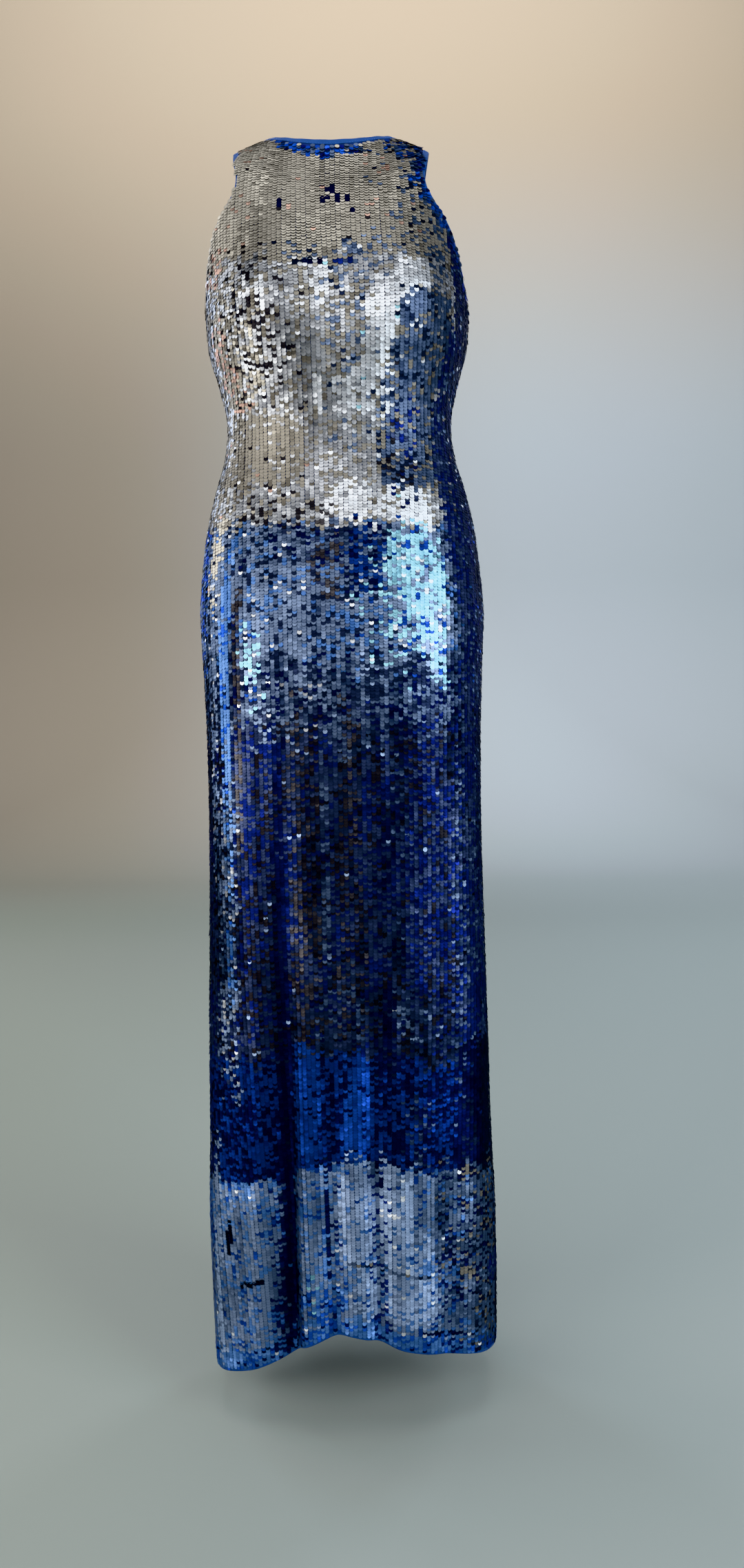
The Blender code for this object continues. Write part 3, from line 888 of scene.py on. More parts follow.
def wall_draft(name: str, outer: Array, inner: Array, cut: Array, ring: bool) -> MeshDraft:
    """Closed thin wall between two grids of points.

    Args:
        name: name of the piece.
        outer: rows and columns of points on the side that shows.
        inner: the same on the other side.
        cut: flat coordinates of the grid; a ring has one more column of them.
        ring: whether the columns join up into a loop.

    Returns:
        The draft of the wall.
    """
    rows, columns = outer.shape[:2]
    steps = columns if ring else columns - 1
    r, c = (grid.ravel() for grid in np.indices((rows - 1, steps)))
    at_row = np.arange(steps)
    low = np.zeros(steps, int)
    high = low + rows - 1
    quads = [
        ((0, r, c), (0, r, c + 1), (0, r + 1, c + 1), (0, r + 1, c)),
        ((1, r, c), (1, r + 1, c), (1, r + 1, c + 1), (1, r, c + 1)),
        ((0, low, at_row + 1), (0, low, at_row), (1, low, at_row), (1, low, at_row + 1)),
        ((0, high, at_row), (0, high, at_row + 1), (1, high, at_row + 1), (1, high, at_row)),
    ]
    if not ring:
        up = np.arange(rows - 1)
        first = np.zeros(rows - 1, int)
        last = first + columns - 1
        quads.append(((0, up, first), (0, up + 1, first), (1, up + 1, first), (1, up, first)))
        quads.append(((0, up + 1, last), (0, up, last), (1, up, last), (1, up + 1, last)))
    faces = []
    corner_uv = []
    for quad in quads:
        faces.append(np.stack([
            side * rows * columns + row * columns + column % columns
            for side, row, column in quad
        ], axis=-1))
        corner_uv.append(np.stack([cut[row, column] for _, row, column in quad], axis=1))
    points = np.concatenate([outer.reshape(-1, 3), inner.reshape(-1, 3)])
    draft = MeshDraft(name, points, np.concatenate(faces), np.concatenate(corner_uv))
    a, b, d = (draft.points[draft.faces[:, i]] for i in (0, 1, 2))
    if np.sum(np.cross(b - a, d - a) * a) < 0.0:
        draft.faces = draft.faces[:, ::-1]
        draft.face_uv = draft.face_uv[:, ::-1]
    return draft


def flat_lengths(points: Array, axis: int) -> Array:
    """Lengths along the lines of a grid of points.

    Args:
        points: the grid.
        axis: axis that the lines follow.

    Returns:
        Length from the first point of each line to each of its points.
    """
    steps = np.linalg.norm(np.diff(points, axis=axis), axis=-1)
    start = np.zeros_like(np.take(steps, [0], axis=axis))
    return np.concatenate([start, np.cumsum(steps, axis=axis)], axis=axis)


class Seed(Enum):
    """Small closed form that is repeated along a line."""

    GRAIN = "grain"
    BLOCK = "block"

    def form(self) -> tuple[Array, Array]:
        """Build the FORM.

        Returns:
            Points within about one unit of the centre, and the triangles between them.
        """
        points = []
        if self is Seed.GRAIN:
            golden = 0.5 * (1.0 + math.sqrt(5.0))
            for a in (-1.0, 1.0):
                for b in (-golden, golden):
                    points += [(0.0, a, b), (a, b, 0.0), (b, 0.0, a)]
            points = unit(np.array(points))
            return points, hull_triangles(points)
        low, cut = 0.45, 0.6
        ring = (
            (1.0, low), (cut, 1.0), (-cut, 1.0), (-1.0, low),
            (-1.0, -low), (-cut, -1.0), (cut, -1.0), (1.0, -low),
        )
        for x, narrowing in ((-1.0, 0.8), (1.0, 0.8), (-0.75, 1.0), (0.75, 1.0)):
            points += [(x, narrowing * u, narrowing * v) for u, v in ring]
        points = np.array(points)
        return points, hull_triangles(points)


def hull_triangles(points: Array) -> Array:
    """Convex hull of a few points.

    Args:
        points: the points, all of them corners of the hull.

    Returns:
        Three point numbers for each triangle, facing out.
    """
    mesh = bpy.data.meshes.new("hull_work")
    mesh.from_pydata([tuple(point) for point in points], [], [])
    work = bmesh.new()
    work.from_mesh(mesh)
    bmesh.ops.convex_hull(work, input=work.verts)
    bmesh.ops.triangulate(work, faces=work.faces)
    bmesh.ops.recalc_face_normals(work, faces=work.faces)
    work.verts.index_update()
    triangles = np.array([[vert.index for vert in face.verts] for face in work.faces])
    work.free()
    bpy.data.meshes.remove(mesh)
    return triangles


def repeated_draft(
    name: str, seed: Seed, centres: Array, axes: tuple[Array, Array, Array], size: Triple
) -> MeshDraft:
    """One mesh of a small form set down many times.

    Args:
        name: name of the piece.
        seed: the small FORM.
        centres: where each one goes.
        axes: for each one the directions of its length, its width and its height.
        size: half its length, width and height.

    Returns:
        The draft of all of them.
    """
    points, triangles = seed.form()
    placed = centres[:, None, :].copy()
    for index in range(3):
        placed = placed + points[None, :, index, None] * size[index] * axes[index][:, None, :]
    faces = triangles[None] + (np.arange(len(centres)) * len(points))[:, None, None]
    return MeshDraft(name, placed.reshape(-1, 3), faces.reshape(-1, 3))


def dress(
    piece: Piece, body: str, materials: Sequence[Material],
    replaces: Sequence[str] = (),
) -> Piece:
    """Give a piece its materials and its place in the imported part.

    Args:
        piece: the object.
        body: the body that it moves with.
        materials: its materials, in the order of its faces' indices.
        replaces: nodes that it stands for.

    Returns:
        The same object.
    """
    for material in materials:
        piece.data.materials.append(material)
    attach(piece, body)
    if replaces:
        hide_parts(*replaces)
    return piece


# ---- Cloth ----
@dataclass(frozen=True)
class FlatCut:
    """Size that a cloth piece was cut to before it was sewn."""

    width: float
    length: float
    area: float | None = None


@dataclass
class PanelCloth:
    """Knitted ground of one panel, which carries the sequins."""

    name: str
    node: str
    behind: bool
    side: int
    cut: FlatCut
    face: float = -0.0005
    thickness: float = 0.0011
    tuck: float = 0.0018
    columns: int = 61
    row_step: float = 0.010
    clock_step: float = 7.5
    strip: float = 0.008
    end_step: float = 0.004
    shoulder_rows: int = 8

    def edges(self) -> list[tuple[float, float]]:
        """Rows of the panel, from the hem to the neck.

        Returns:
            Station and side edge of each row.
        """
        rows = []
        lower = np.arange(FORM.hem + FORM.hem_band - self.tuck, FORM.slit_top, self.row_step)
        for station in (*lower, FORM.slit_top - FORM.seam_gap):
            inset = self.strip - self.tuck
            rows.append((station, float(FORM.side_edge(station, self.behind, inset))))
        bottom = float(FORM.armhole_line(180.0, self.tuck)[1])
        low = FORM.slit_top + self.end_step
        middle = np.arange(low, bottom - self.end_step, self.row_step)
        for station in (FORM.slit_top + FORM.seam_gap, *middle, bottom):
            rows.append((station, float(FORM.side_edge(station, self.behind))))
        for clock in np.arange(180.0 - self.clock_step, 0.0, -self.clock_step):
            turn, station = FORM.armhole_line(-clock if self.behind else clock, self.tuck)
            rows.append((float(station), float(turn)))
        top = float(FORM.armhole_line(0.0, self.tuck)[1])
        for station in np.linspace(top, FORM.neck_edge - self.tuck, self.shoulder_rows):
            rows.append((station, float(FORM.side_edge(station, self.behind))))
        return rows

    def build(self, finish: Material) -> Piece:
        """Make the cloth.

        Args:
            finish: material of the knit.

        Returns:
            The panel's cloth.
        """
        rows = self.edges()
        station = np.array([row[0] for row in rows])[:, None]
        edge = np.array([row[1] for row in rows])[:, None]
        share = np.linspace(0.0, 1.0, self.columns)[None, :]
        turn = FORM.panel_turn(edge, station, share, self.behind, self.side)
        outer = FORM.cloth(turn, station, self.face)
        inner = FORM.cloth(turn, station, self.face - self.thickness)
        across = flat_lengths(outer, 1)
        along = flat_lengths(outer, 0)
        draft = wall_draft(self.name, outer, inner, np.stack([across, along], -1), False)
        return dress(draft.build(), GOWN, [finish], [self.node])


@dataclass
class FoldedStrip:
    """Strip of plain cloth folded over an edge, with both legs on the cloth."""

    name: str
    nodes: tuple[str, ...]
    leg: float
    stitched_at: float
    cut: FlatCut
    proud: float = 0.0004
    depth: float = 0.0029
    thickness: float = 0.0006
    steps: int = 160
    ring: bool = False
    pucker: float = 0.00018
    pucker_pitch: float = 0.021
    slow_pucker: float = 0.6
    slow_pitch: float = 1.7
    leg_points: tuple[float, ...] = (1.0, 0.8, 0.55, 0.35)
    bend_points: int = 9
    end_thinning: float = 0.25

    def profile(self) -> tuple[Array, Array]:
        """Section across the strip.

        Returns:
            For each face of the strip, distance from the folded edge and distance out.
        """
        half = 0.5 * self.depth
        middle = self.proud - half
        bend = np.radians(np.linspace(90.0, 270.0, self.bend_points))
        legs = np.array(self.leg_points) * self.leg
        sides = [np.concatenate([legs, half + half * np.cos(bend), legs[::-1]])]
        flat = np.full(len(legs), half)
        flat[0] = half - self.end_thinning * self.thickness
        sides.append(np.concatenate([flat, half * np.sin(bend), -flat[::-1]]))
        line = np.stack(sides, -1)
        along = unit(np.gradient(line, axis=0))
        inward = np.stack([-along[:, 1], along[:, 0]], -1)
        toward = np.array([self.leg, 0.0]) - line
        inward *= np.sign(np.sum(inward * toward, -1, keepdims=True))
        inner = line + inward * self.thickness
        for edge in (line, inner):
            edge[:, 1] += middle
        inner[:, 0] = np.minimum(inner[:, 0], self.leg)
        return line, inner

    def place(self, share: Array, width: Array) -> tuple[Array, Array]:
        """Turn and station at a share of the edge's length and a width in from it."""
        raise NotImplementedError

    def build(self, finish: Material) -> Piece:
        """Make the strip.

        Args:
            finish: material of the strip.

        Returns:
            The strip.
        """
        count = self.steps if self.ring else self.steps + 1
        share = np.arange(count)[None, :] / self.steps
        sheets = []
        for line in self.profile():
            width = line[:, :1]
            turn, station = self.place(share, width)
            out = line[:, 1:] + np.zeros_like(share)
            sheets.append((turn, station, out))
        edge = FORM.surface(*self.place(share, 0.0 * share))
        length = flat_lengths(edge.reshape(1, -1, 3), 1)[0]
        wave = np.sin(length * 2.0 * math.pi / self.pucker_pitch)
        slow = length * 2.0 * math.pi / (self.slow_pitch * self.pucker_pitch) + 1.0
        wave = wave + self.slow_pucker * np.sin(slow)
        points = [
            FORM.cloth(turn, station, out + self.pucker * wave * np.sign(out - out.mean()))
            for turn, station, out in sheets
        ]
        if self.ring:
            length = np.append(length, 2.0 * length[-1] - length[-2])
        width = flat_lengths(points[0], 0)[:, :1]
        cut = np.stack(np.broadcast_arrays(length[None, :], width), -1)
        draft = wall_draft(self.name, points[0], points[1], cut, self.ring)
        return dress(draft.build(sharp=60.0), GOWN, [finish], self.nodes)


@dataclass
class NeckStrip(FoldedStrip):
    """Binding round the neck, open at the zip."""

    def place(self, share: Array, width: Array) -> tuple[Array, Array]:
        """Turn and station round the neck."""
        station = FORM.neck_edge - width + 0.0 * share
        return (CENTRE_BACK - FORM.zip_edge(station)) * (2.0 * share - 1.0), station


@dataclass
class ArmholeStrip(FoldedStrip):
    """Binding all round one armhole."""

    side: int = 1

    def place(self, share: Array, width: Array) -> tuple[Array, Array]:
        """Turn and station round the armhole."""
        turn, station = FORM.armhole_line(*np.broadcast_arrays(360.0 * share, width))
        return self.side * turn, station


@dataclass
class HemStrip(FoldedStrip):
    """Turned-up hem of one panel."""

    behind: bool = False
    side: int = 1

    def place(self, share: Array, width: Array) -> tuple[Array, Array]:
        """Places along the hem.

        Args:
            share: share of the edge's length.
            width: metres in from the edge.

        Returns:
            Turn and station.
        """
        station = FORM.hem + width + 0.0 * share
        edge = FORM.side_edge(station, self.behind)
        return FORM.panel_turn(edge, station, share, self.behind, self.side), station


@dataclass
class SlitStrip(FoldedStrip):
    """Turned edge of a side slit, from the hem up to the top of the slit."""

    behind: bool = False
    side: int = 1

    def place(self, share: Array, width: Array) -> tuple[Array, Array]:
        """Places up the slit.

        Args:
            share: share of the edge's length.
            width: metres in from the edge.

        Returns:
            Turn and station.
        """
        low = FORM.hem + FORM.hem_band + 0.5 * FORM.seam_gap
        high = FORM.slit_top - 2.0 * FORM.seam_gap
        station = low + (high - low) * share + 0.0 * width
        edge = FORM.side_edge(station, self.behind, width)
        return self.side * edge, station


@dataclass
class StitchRow:
    """Line of thread stitches along a strip."""

    name: str
    strip: FoldedStrip
    pitch: float = 0.0030
    length: float = 0.0021
    thread: float = 0.00022
    measured_at: int = 1200

    def spots(self) -> tuple[Array, Array]:
        """Places of the stitches, evenly along the row.

        Returns:
            Turn and station of each.
        """
        width = np.array([[self.strip.stitched_at]])
        fine = np.linspace(0.0, 1.0, self.measured_at)[None, :]
        turn, station = self.strip.place(fine, width)
        length = flat_lengths(FORM.surface(turn, station), 1)[0]
        count = int(length[-1] / self.pitch)
        spots = (np.arange(count) + 0.5) * self.pitch
        share = np.interp(spots, length, fine[0])[None, :]
        turn, station = self.strip.place(share, width)
        return turn[0], station[0]

    def build(self, finish: Material) -> Piece:
        """Make the stitches.

        Args:
            finish: material of the thread.

        Returns:
            All the stitches of the row as one piece.
        """
        turn, station = self.spots()
        centres = FORM.cloth(turn, station, self.strip.proud)
        out = FORM.axes(turn, station)[2]
        along = unit(np.gradient(centres, axis=0))
        beside = np.cross(out, along)
        size = (0.5 * self.length, self.thread, self.thread)
        axes = (along, beside, out)
        draft = repeated_draft(self.name, Seed.GRAIN, centres, axes, size)
        return dress(draft.build(), GOWN, [finish])


# ---- Sequins ----
class Tint(Enum):
    """Films that the sequins are cut from, as they look in the light."""

    SILVER = SequinFinish("sequin_silver", (0.035, 0.038, 0.048), (0.80, 0.84, 0.90), 0.36)
    BEIGE = SequinFinish("sequin_beige_silver", (0.06, 0.055, 0.048), (0.51, 0.49, 0.44), 0.50)
    ROSE = SequinFinish("sequin_rose_silver", (0.10, 0.06, 0.05), (0.62, 0.45, 0.38), 0.38)
    STEEL = SequinFinish("sequin_steel_blue", (0.012, 0.019, 0.046), (0.29, 0.38, 0.56), 0.46)
    CYAN = SequinFinish("sequin_cyan", (0.02, 0.09, 0.18), (0.50, 0.88, 0.98), 0.34)
    AZURE = SequinFinish(
        "sequin_azure", (0.002, 0.006, 0.060), (0.050, 0.145, 0.64), 0.40, (0.05, 0.08, 0.30)
    )
    SKY = SequinFinish(
        "sequin_sky", (0.010, 0.030, 0.12), (0.17, 0.31, 0.62), 0.42, (0.08, 0.15, 0.35)
    )
    NAVY = SequinFinish(
        "sequin_navy", (0.0008, 0.001, 0.011), (0.016, 0.026, 0.155), 0.36, (0.02, 0.03, 0.14)
    )
    INDIGO = SequinFinish(
        "sequin_indigo", (0.002, 0.003, 0.009), (0.075, 0.095, 0.180), 0.42, (0.05, 0.06, 0.12)
    )
    SMOKE = SequinFinish(
        "sequin_smoke", (0.003, 0.003, 0.005), (0.098, 0.094, 0.102), 0.44, (0.06, 0.06, 0.08)
    )


TINTS = tuple(Tint)
LEVELS = 8


@dataclass(frozen=True)
class Look:
    """How the sequins of one area look together."""

    tint: Tint
    other: Tint
    share: float
    light: float
    spread: float
    fleck: Tint = Tint.SMOKE
    flecks: float = 0.0
    # painted glints: share of discs set bright at random, and their film
    glints: float = 0.0
    glint: Tint = Tint.SILVER
    lean: float = 9.0
    sway: float = 3.5


class Area(Enum):
    """Named looks of the gown's areas."""

    YOKE = Look(Tint.BEIGE, Tint.ROSE, 0.02, 0.37, 0.04, flecks=0.005, sway=1.4)
    # pale beige near the wearer's right side: beige film made lighter as a painted reflection of
    # warm light
    LINEN = Look(Tint.BEIGE, Tint.ROSE, 0.03, 0.68, 0.06, flecks=0.004, sway=1.4)
    BODICE = Look(
        Tint.SILVER, Tint.BEIGE, 0.30, 0.35, 0.12, Tint.BEIGE, 0.12, 0.010, lean=8.0, sway=2.8
    )
    SHADE = Look(Tint.SILVER, Tint.SMOKE, 0.36, 0.20, 0.10, Tint.BEIGE, 0.14, 0.03, sway=2.8)
    GLARE = Look(Tint.SILVER, Tint.CYAN, 0.03, 0.76, 0.16, Tint.BEIGE, 0.04, 0.08, sway=2.6)
    PEARL = Look(Tint.SILVER, Tint.BEIGE, 0.40, 0.27, 0.06, flecks=0.010, glints=0.006, sway=1.8)
    CREAM = Look(Tint.BEIGE, Tint.SILVER, 0.30, 0.72, 0.18, flecks=0.05, glints=0.03)
    BLUSH = Look(Tint.ROSE, Tint.BEIGE, 0.45, 0.44, 0.12, flecks=0.04)
    SAND = Look(Tint.BEIGE, Tint.ROSE, 0.04, 0.33, 0.06, flecks=0.010, sway=1.6)
    SLATE = Look(Tint.STEEL, Tint.BEIGE, 0.20, 0.19, 0.07, Tint.INDIGO, 0.12, 0.002, sway=2.0)
    ROYAL = Look(Tint.NAVY, Tint.INDIGO, 0.46, 0.72, 0.14, Tint.STEEL, 0.07)
    INK = Look(Tint.NAVY, Tint.INDIGO, 0.10, 0.13, 0.10, Tint.NAVY, 0.10, sway=3.0)
    PATCH = Look(Tint.AZURE, Tint.NAVY, 0.26, 0.32, 0.14, Tint.STEEL, 0.34, sway=6.0)
    DUSK = Look(Tint.STEEL, Tint.SKY, 0.26, 0.32, 0.16, Tint.INDIGO, 0.18, 0.007, sway=3.4)
    FROST = Look(Tint.STEEL, Tint.SILVER, 0.10, 0.38, 0.18, Tint.INDIGO, 0.14, 0.012, sway=3.4)
    # painted highlight: bright cyan discs where the film catches the light
    ICE = Look(Tint.CYAN, Tint.STEEL, 0.34, 0.47, 0.20, Tint.AZURE, 0.10, 0.07, sway=2.8)
    DEEP = Look(
        Tint.STEEL, Tint.INDIGO, 0.36, 0.18, 0.13, Tint.NAVY, 0.18, 0.007, Tint.STEEL, sway=3.4
    )
    NIGHT = Look(
        Tint.INDIGO, Tint.NAVY, 0.34, 0.34, 0.20, Tint.SMOKE, 0.20, 0.007, Tint.STEEL, sway=3.2
    )
    UMBER = Look(
        Tint.SMOKE, Tint.INDIGO, 0.34, 0.54, 0.22, Tint.NAVY, 0.08, 0.006, Tint.STEEL, sway=3.6
    )
    AZURE = Look(Tint.AZURE, Tint.NAVY, 0.40, 0.10, 0.07, Tint.NAVY, 0.08)
    BRIGHT = Look(Tint.AZURE, Tint.AZURE, 0.0, 0.26, 0.10, Tint.NAVY, 0.03)
    STREAK = Look(Tint.SKY, Tint.AZURE, 0.14, 0.74, 0.08, Tint.AZURE, 0.02, sway=2.0)
    HAZE = Look(Tint.STEEL, Tint.SKY, 0.34, 0.41, 0.09, Tint.AZURE, 0.08, 0.005, sway=2.2)
    MIST = Look(Tint.STEEL, Tint.SILVER, 0.03, 0.74, 0.07, Tint.SKY, 0.08, sway=2.0)
    HEM = Look(Tint.AZURE, Tint.SKY, 0.60, 0.44, 0.14, Tint.NAVY, 0.06, 0.01)
    FLIPPED = Look(Tint.NAVY, Tint.INDIGO, 0.40, 0.04, 0.03, Tint.NAVY, lean=-12.0)


@dataclass(frozen=True)
class Band:
    """Area that goes right round the gown below a ragged upper edge."""

    top: float
    area: Area
    ragged: float = 0.006


@dataclass(frozen=True)
class Patch:
    """Area inside a rounded box on the cloth, with a ragged edge."""

    turn: float
    station: float
    half_turn: float
    half_length: float
    area: Area
    cover: float = 0.92
    soft: float = 0.30
    squareness: float = 3.0
    slant: float = 0.0

    def share(self, spots: "Spots", rough: Array) -> Array:
        """Chance of each sequin to belong to the patch, which falls off over its edge.

        Args:
            spots: where the sequins are.
            rough: noise that makes the edge ragged.

        Returns:
            The chance, between 0 and 1.
        """
        over = spots.station - self.station
        off = wrapped(spots.turn - self.turn - self.slant * over)
        q = self.squareness
        reach = np.abs(off / self.half_turn) ** q + np.abs(over / self.half_length) ** q
        depth = (1.0 + self.soft * (1.0 + rough) - reach ** (1.0 / q)) / (2.0 * self.soft)
        depth = np.clip(depth, 0.0, 1.0)
        return self.cover * depth * depth * (3.0 - 2.0 * depth)


BANDS = (
    Band(1.000, Area.YOKE),
    Band(-0.133, Area.BODICE, 0.009),
    Band(-0.402, Area.DUSK, 0.008),
    Band(-0.540, Area.DEEP, 0.030),
    Band(-0.625, Area.NIGHT, 0.030),
    Band(-1.010, Area.AZURE, 0.016),
    Band(-1.158, Area.HAZE, 0.006),
    Band(-1.378, Area.HEM, 0.004),
)
FRONT_PATCHES = (
    # yoke
    Patch(-16.0, 0.031, 40.0, 0.011, Area.PATCH),
    Patch(62.0, -0.005, 13.0, 0.036, Area.PATCH, 0.80, 0.5),
    Patch(-64.0, -0.020, 26.0, 0.050, Area.LINEN, 1.0),
    Patch(-64.0, -0.088, 20.0, 0.040, Area.LINEN, 1.0),
    Patch(-2.0, -0.030, 1.4, 0.017, Area.FLIPPED, 0.96, 0.2, slant=150.0),
    Patch(2.8, -0.026, 1.4, 0.012, Area.FLIPPED, 0.96, 0.2, slant=-110.0),
    Patch(10.0, -0.038, 1.4, 0.005, Area.FLIPPED, 1.0, 0.2),
    Patch(11.0, -0.055, 1.4, 0.005, Area.FLIPPED, 1.0, 0.2),
    Patch(-28.0, -0.053, 1.5, 0.005, Area.FLIPPED, 1.0, 0.2),
    Patch(-62.0, -0.136, 8.0, 0.024, Area.BLUSH, 0.7, 0.4),
    Patch(52.0, -0.045, 18.0, 0.050, Area.SLATE, 0.20, 0.6),
    Patch(52.0, -0.110, 14.0, 0.040, Area.SLATE, 0.36, 0.5),
    Patch(-6.0, -0.124, 20.0, 0.012, Area.SLATE, 0.34, 0.5),
    Patch(-12.0, -0.140, 9.0, 0.0036, Area.FLIPPED, 0.80, 0.4),
    Patch(5.0, -0.139, 7.0, 0.0034, Area.ROYAL, 0.80, 0.5),
    # bodice
    Patch(-59.0, -0.230, 9.0, 0.045, Area.BLUSH, 0.8, 0.4),
    Patch(-36.0, -0.215, 17.0, 0.070, Area.SHADE, 0.72, 0.5),
    Patch(-32.0, -0.170, 1.4, 0.022, Area.GLARE, 0.90),
    Patch(-40.0, -0.165, 1.4, 0.014, Area.GLARE, 0.80),
    Patch(-48.0, -0.200, 5.0, 0.024, Area.CREAM, 0.30, 0.5),
    Patch(-47.0, -0.246, 7.0, 0.024, Area.CREAM, 0.60, 0.5),
    Patch(-24.0, -0.262, 10.0, 0.024, Area.SHADE, 0.35, 0.6),
    Patch(-42.0, -0.335, 29.0, 0.042, Area.SAND, 0.90),
    Patch(0.0, -0.345, 22.0, 0.034, Area.PEARL, 0.80, 0.4),
    Patch(12.0, -0.215, 18.0, 0.085, Area.FROST, 0.30, 0.6),
    Patch(-6.0, -0.162, 4.0, 0.022, Area.GLARE, 0.7),
    Patch(36.0, -0.152, 7.0, 0.020, Area.GLARE, 0.97, 0.25),
    Patch(25.0, -0.188, 8.0, 0.028, Area.GLARE, 0.90, 0.35, slant=150.0),
    Patch(44.0, -0.240, 17.0, 0.070, Area.SLATE, 0.93, 0.22),
    Patch(20.0, -0.236, 6.0, 0.028, Area.GLARE, 0.75, 0.5),
    Patch(12.0, -0.272, 14.0, 0.026, Area.GLARE, 0.70, 0.5),
    Patch(-11.0, -0.272, 2.4, 0.020, Area.GLARE, 0.95, 0.2),
    Patch(43.0, -0.330, 17.0, 0.050, Area.SLATE, 0.97, 0.16),
    Patch(-36.0, -0.380, 24.0, 0.024, Area.SHADE, 0.80, 0.5),
    Patch(20.0, -0.382, 22.0, 0.022, Area.GLARE, 0.90, 0.5),
    Patch(44.0, -0.386, 10.0, 0.020, Area.GLARE),
    Patch(38.0, -0.330, 9.0, 0.050, Area.NIGHT, 0.35, 0.6),
    # hips
    Patch(-18.0, -0.424, 32.0, 0.018, Area.DEEP, 0.65, 0.5),
    Patch(-8.0, -0.440, 9.0, 0.034, Area.UMBER, 0.45, 0.5),
    Patch(16.0, -0.435, 12.0, 0.030, Area.AZURE, 0.55, 0.5),
    Patch(-36.0, -0.460, 16.0, 0.050, Area.FROST, 0.20, 0.5),
    Patch(-30.0, -0.560, 20.0, 0.055, Area.FROST, 0.50, 0.5),
    Patch(24.0, -0.510, 12.0, 0.050, Area.ICE, 0.28, 0.6),
    Patch(40.0, -0.468, 13.5, 0.068, Area.ICE, 0.97, 0.14, 4.0),
    Patch(49.0, -0.545, 3.5, 0.030, Area.ICE, 0.9, 0.25),
    Patch(-66.0, -0.440, 4.5, 0.050, Area.LINEN, 0.85),
    Patch(-60.0, -0.470, 5.0, 0.070, Area.FROST, 0.80),
    Patch(-67.0, -0.640, 3.0, 0.180, Area.FROST, 0.8),
    Patch(-58.0, -0.630, 2.8, 0.200, Area.STREAK, 0.97, 0.18, 4.0),
    Patch(-52.0, -0.620, 2.0, 0.150, Area.UMBER, 0.80),
    Patch(-45.0, -0.548, 4.5, 0.042, Area.ICE, 0.55, 0.5),
    # skirt
    Patch(-60.0, -0.850, 6.0, 0.150, Area.FROST, 0.74, 0.4, 4.0),
    Patch(-58.5, -0.880, 2.2, 0.060, Area.STREAK, 0.60, 0.4),
    Patch(-22.0, -0.760, 6.0, 0.140, Area.UMBER, 0.50, 0.5),
    Patch(-20.0, -0.905, 8.0, 0.080, Area.UMBER, 0.50, 0.5),
    Patch(4.0, -0.740, 5.0, 0.120, Area.UMBER, 0.55, 0.5),
    Patch(4.0, -0.925, 9.0, 0.070, Area.UMBER, 0.45, 0.5),
    Patch(-10.0, -0.790, 2.2, 0.120, Area.DEEP, 0.65, 0.4),
    Patch(-2.0, -0.960, 14.0, 0.040, Area.DEEP, 0.35, 0.6),
    Patch(30.0, -0.780, 5.0, 0.160, Area.DEEP, 0.14, 0.5),
    Patch(33.0, -0.820, 17.0, 0.170, Area.INK, 0.34, 0.5),
    Patch(36.0, -0.965, 9.0, 0.022, Area.FROST, 0.34, 0.6),
    Patch(24.0, -0.985, 4.0, 0.055, Area.INK, 0.90, 0.4),
    Patch(-24.0, -1.082, 7.5, 0.078, Area.BRIGHT, 0.9, 0.25),
    Patch(7.0, -1.082, 10.0, 0.074, Area.BRIGHT, 0.9, 0.25),
    Patch(38.0, -1.100, 10.0, 0.055, Area.DEEP, 0.25, 0.5),
    # hem
    Patch(16.0, -1.240, 22.0, 0.078, Area.MIST, 0.90, 0.25, 4.0),
    Patch(24.0, -1.335, 24.0, 0.036, Area.MIST, 0.86, 0.3, slant=60.0),
    Patch(-54.0, -1.235, 9.0, 0.060, Area.HAZE, 0.8, 0.4),
    Patch(-14.0, -1.235, 1.6, 0.078, Area.INK, 0.85),
    Patch(-22.0, -1.330, 3.2, 0.036, Area.ICE, 0.75, 0.4),
    Patch(-14.0, -1.352, 16.0, 0.024, Area.HEM, 0.7, 0.5),
    Patch(50.0, -1.225, 5.0, 0.060, Area.SLATE, 0.7, 0.4),
    Patch(-68.0, -1.260, 2.4, 0.120, Area.MIST, 0.8, 0.3, 4.0),
    Patch(-62.5, -1.235, 0.9, 0.024, Area.FLIPPED, 0.9, 0.2, 4.0),
    Patch(-53.0, -1.292, 6.0, 0.0028, Area.FLIPPED, 0.75, 0.2, 4.0),
    Patch(-50.0, -1.382, 7.0, 0.0026, Area.INK, 0.7, 0.3, 4.0),
    Patch(50.0, -1.374, 12.0, 0.0026, Area.INK, 0.75, 0.3, 4.0),
    Patch(24.0, -1.298, 26.0, 0.0026, Area.SLATE, 0.6, 0.3, 4.0, slant=60.0),
    # shade in the folds
    Patch(-35.5, -0.900, 3.2, 0.240, Area.INK, 0.92, 0.4, slant=6.7),
    Patch(-36.5, -1.180, 4.0, 0.200, Area.INK, 0.97, 0.3, 4.0, slant=6.7),
    Patch(18.0, -1.050, 2.2, 0.110, Area.INK, 0.45, 0.4),
)
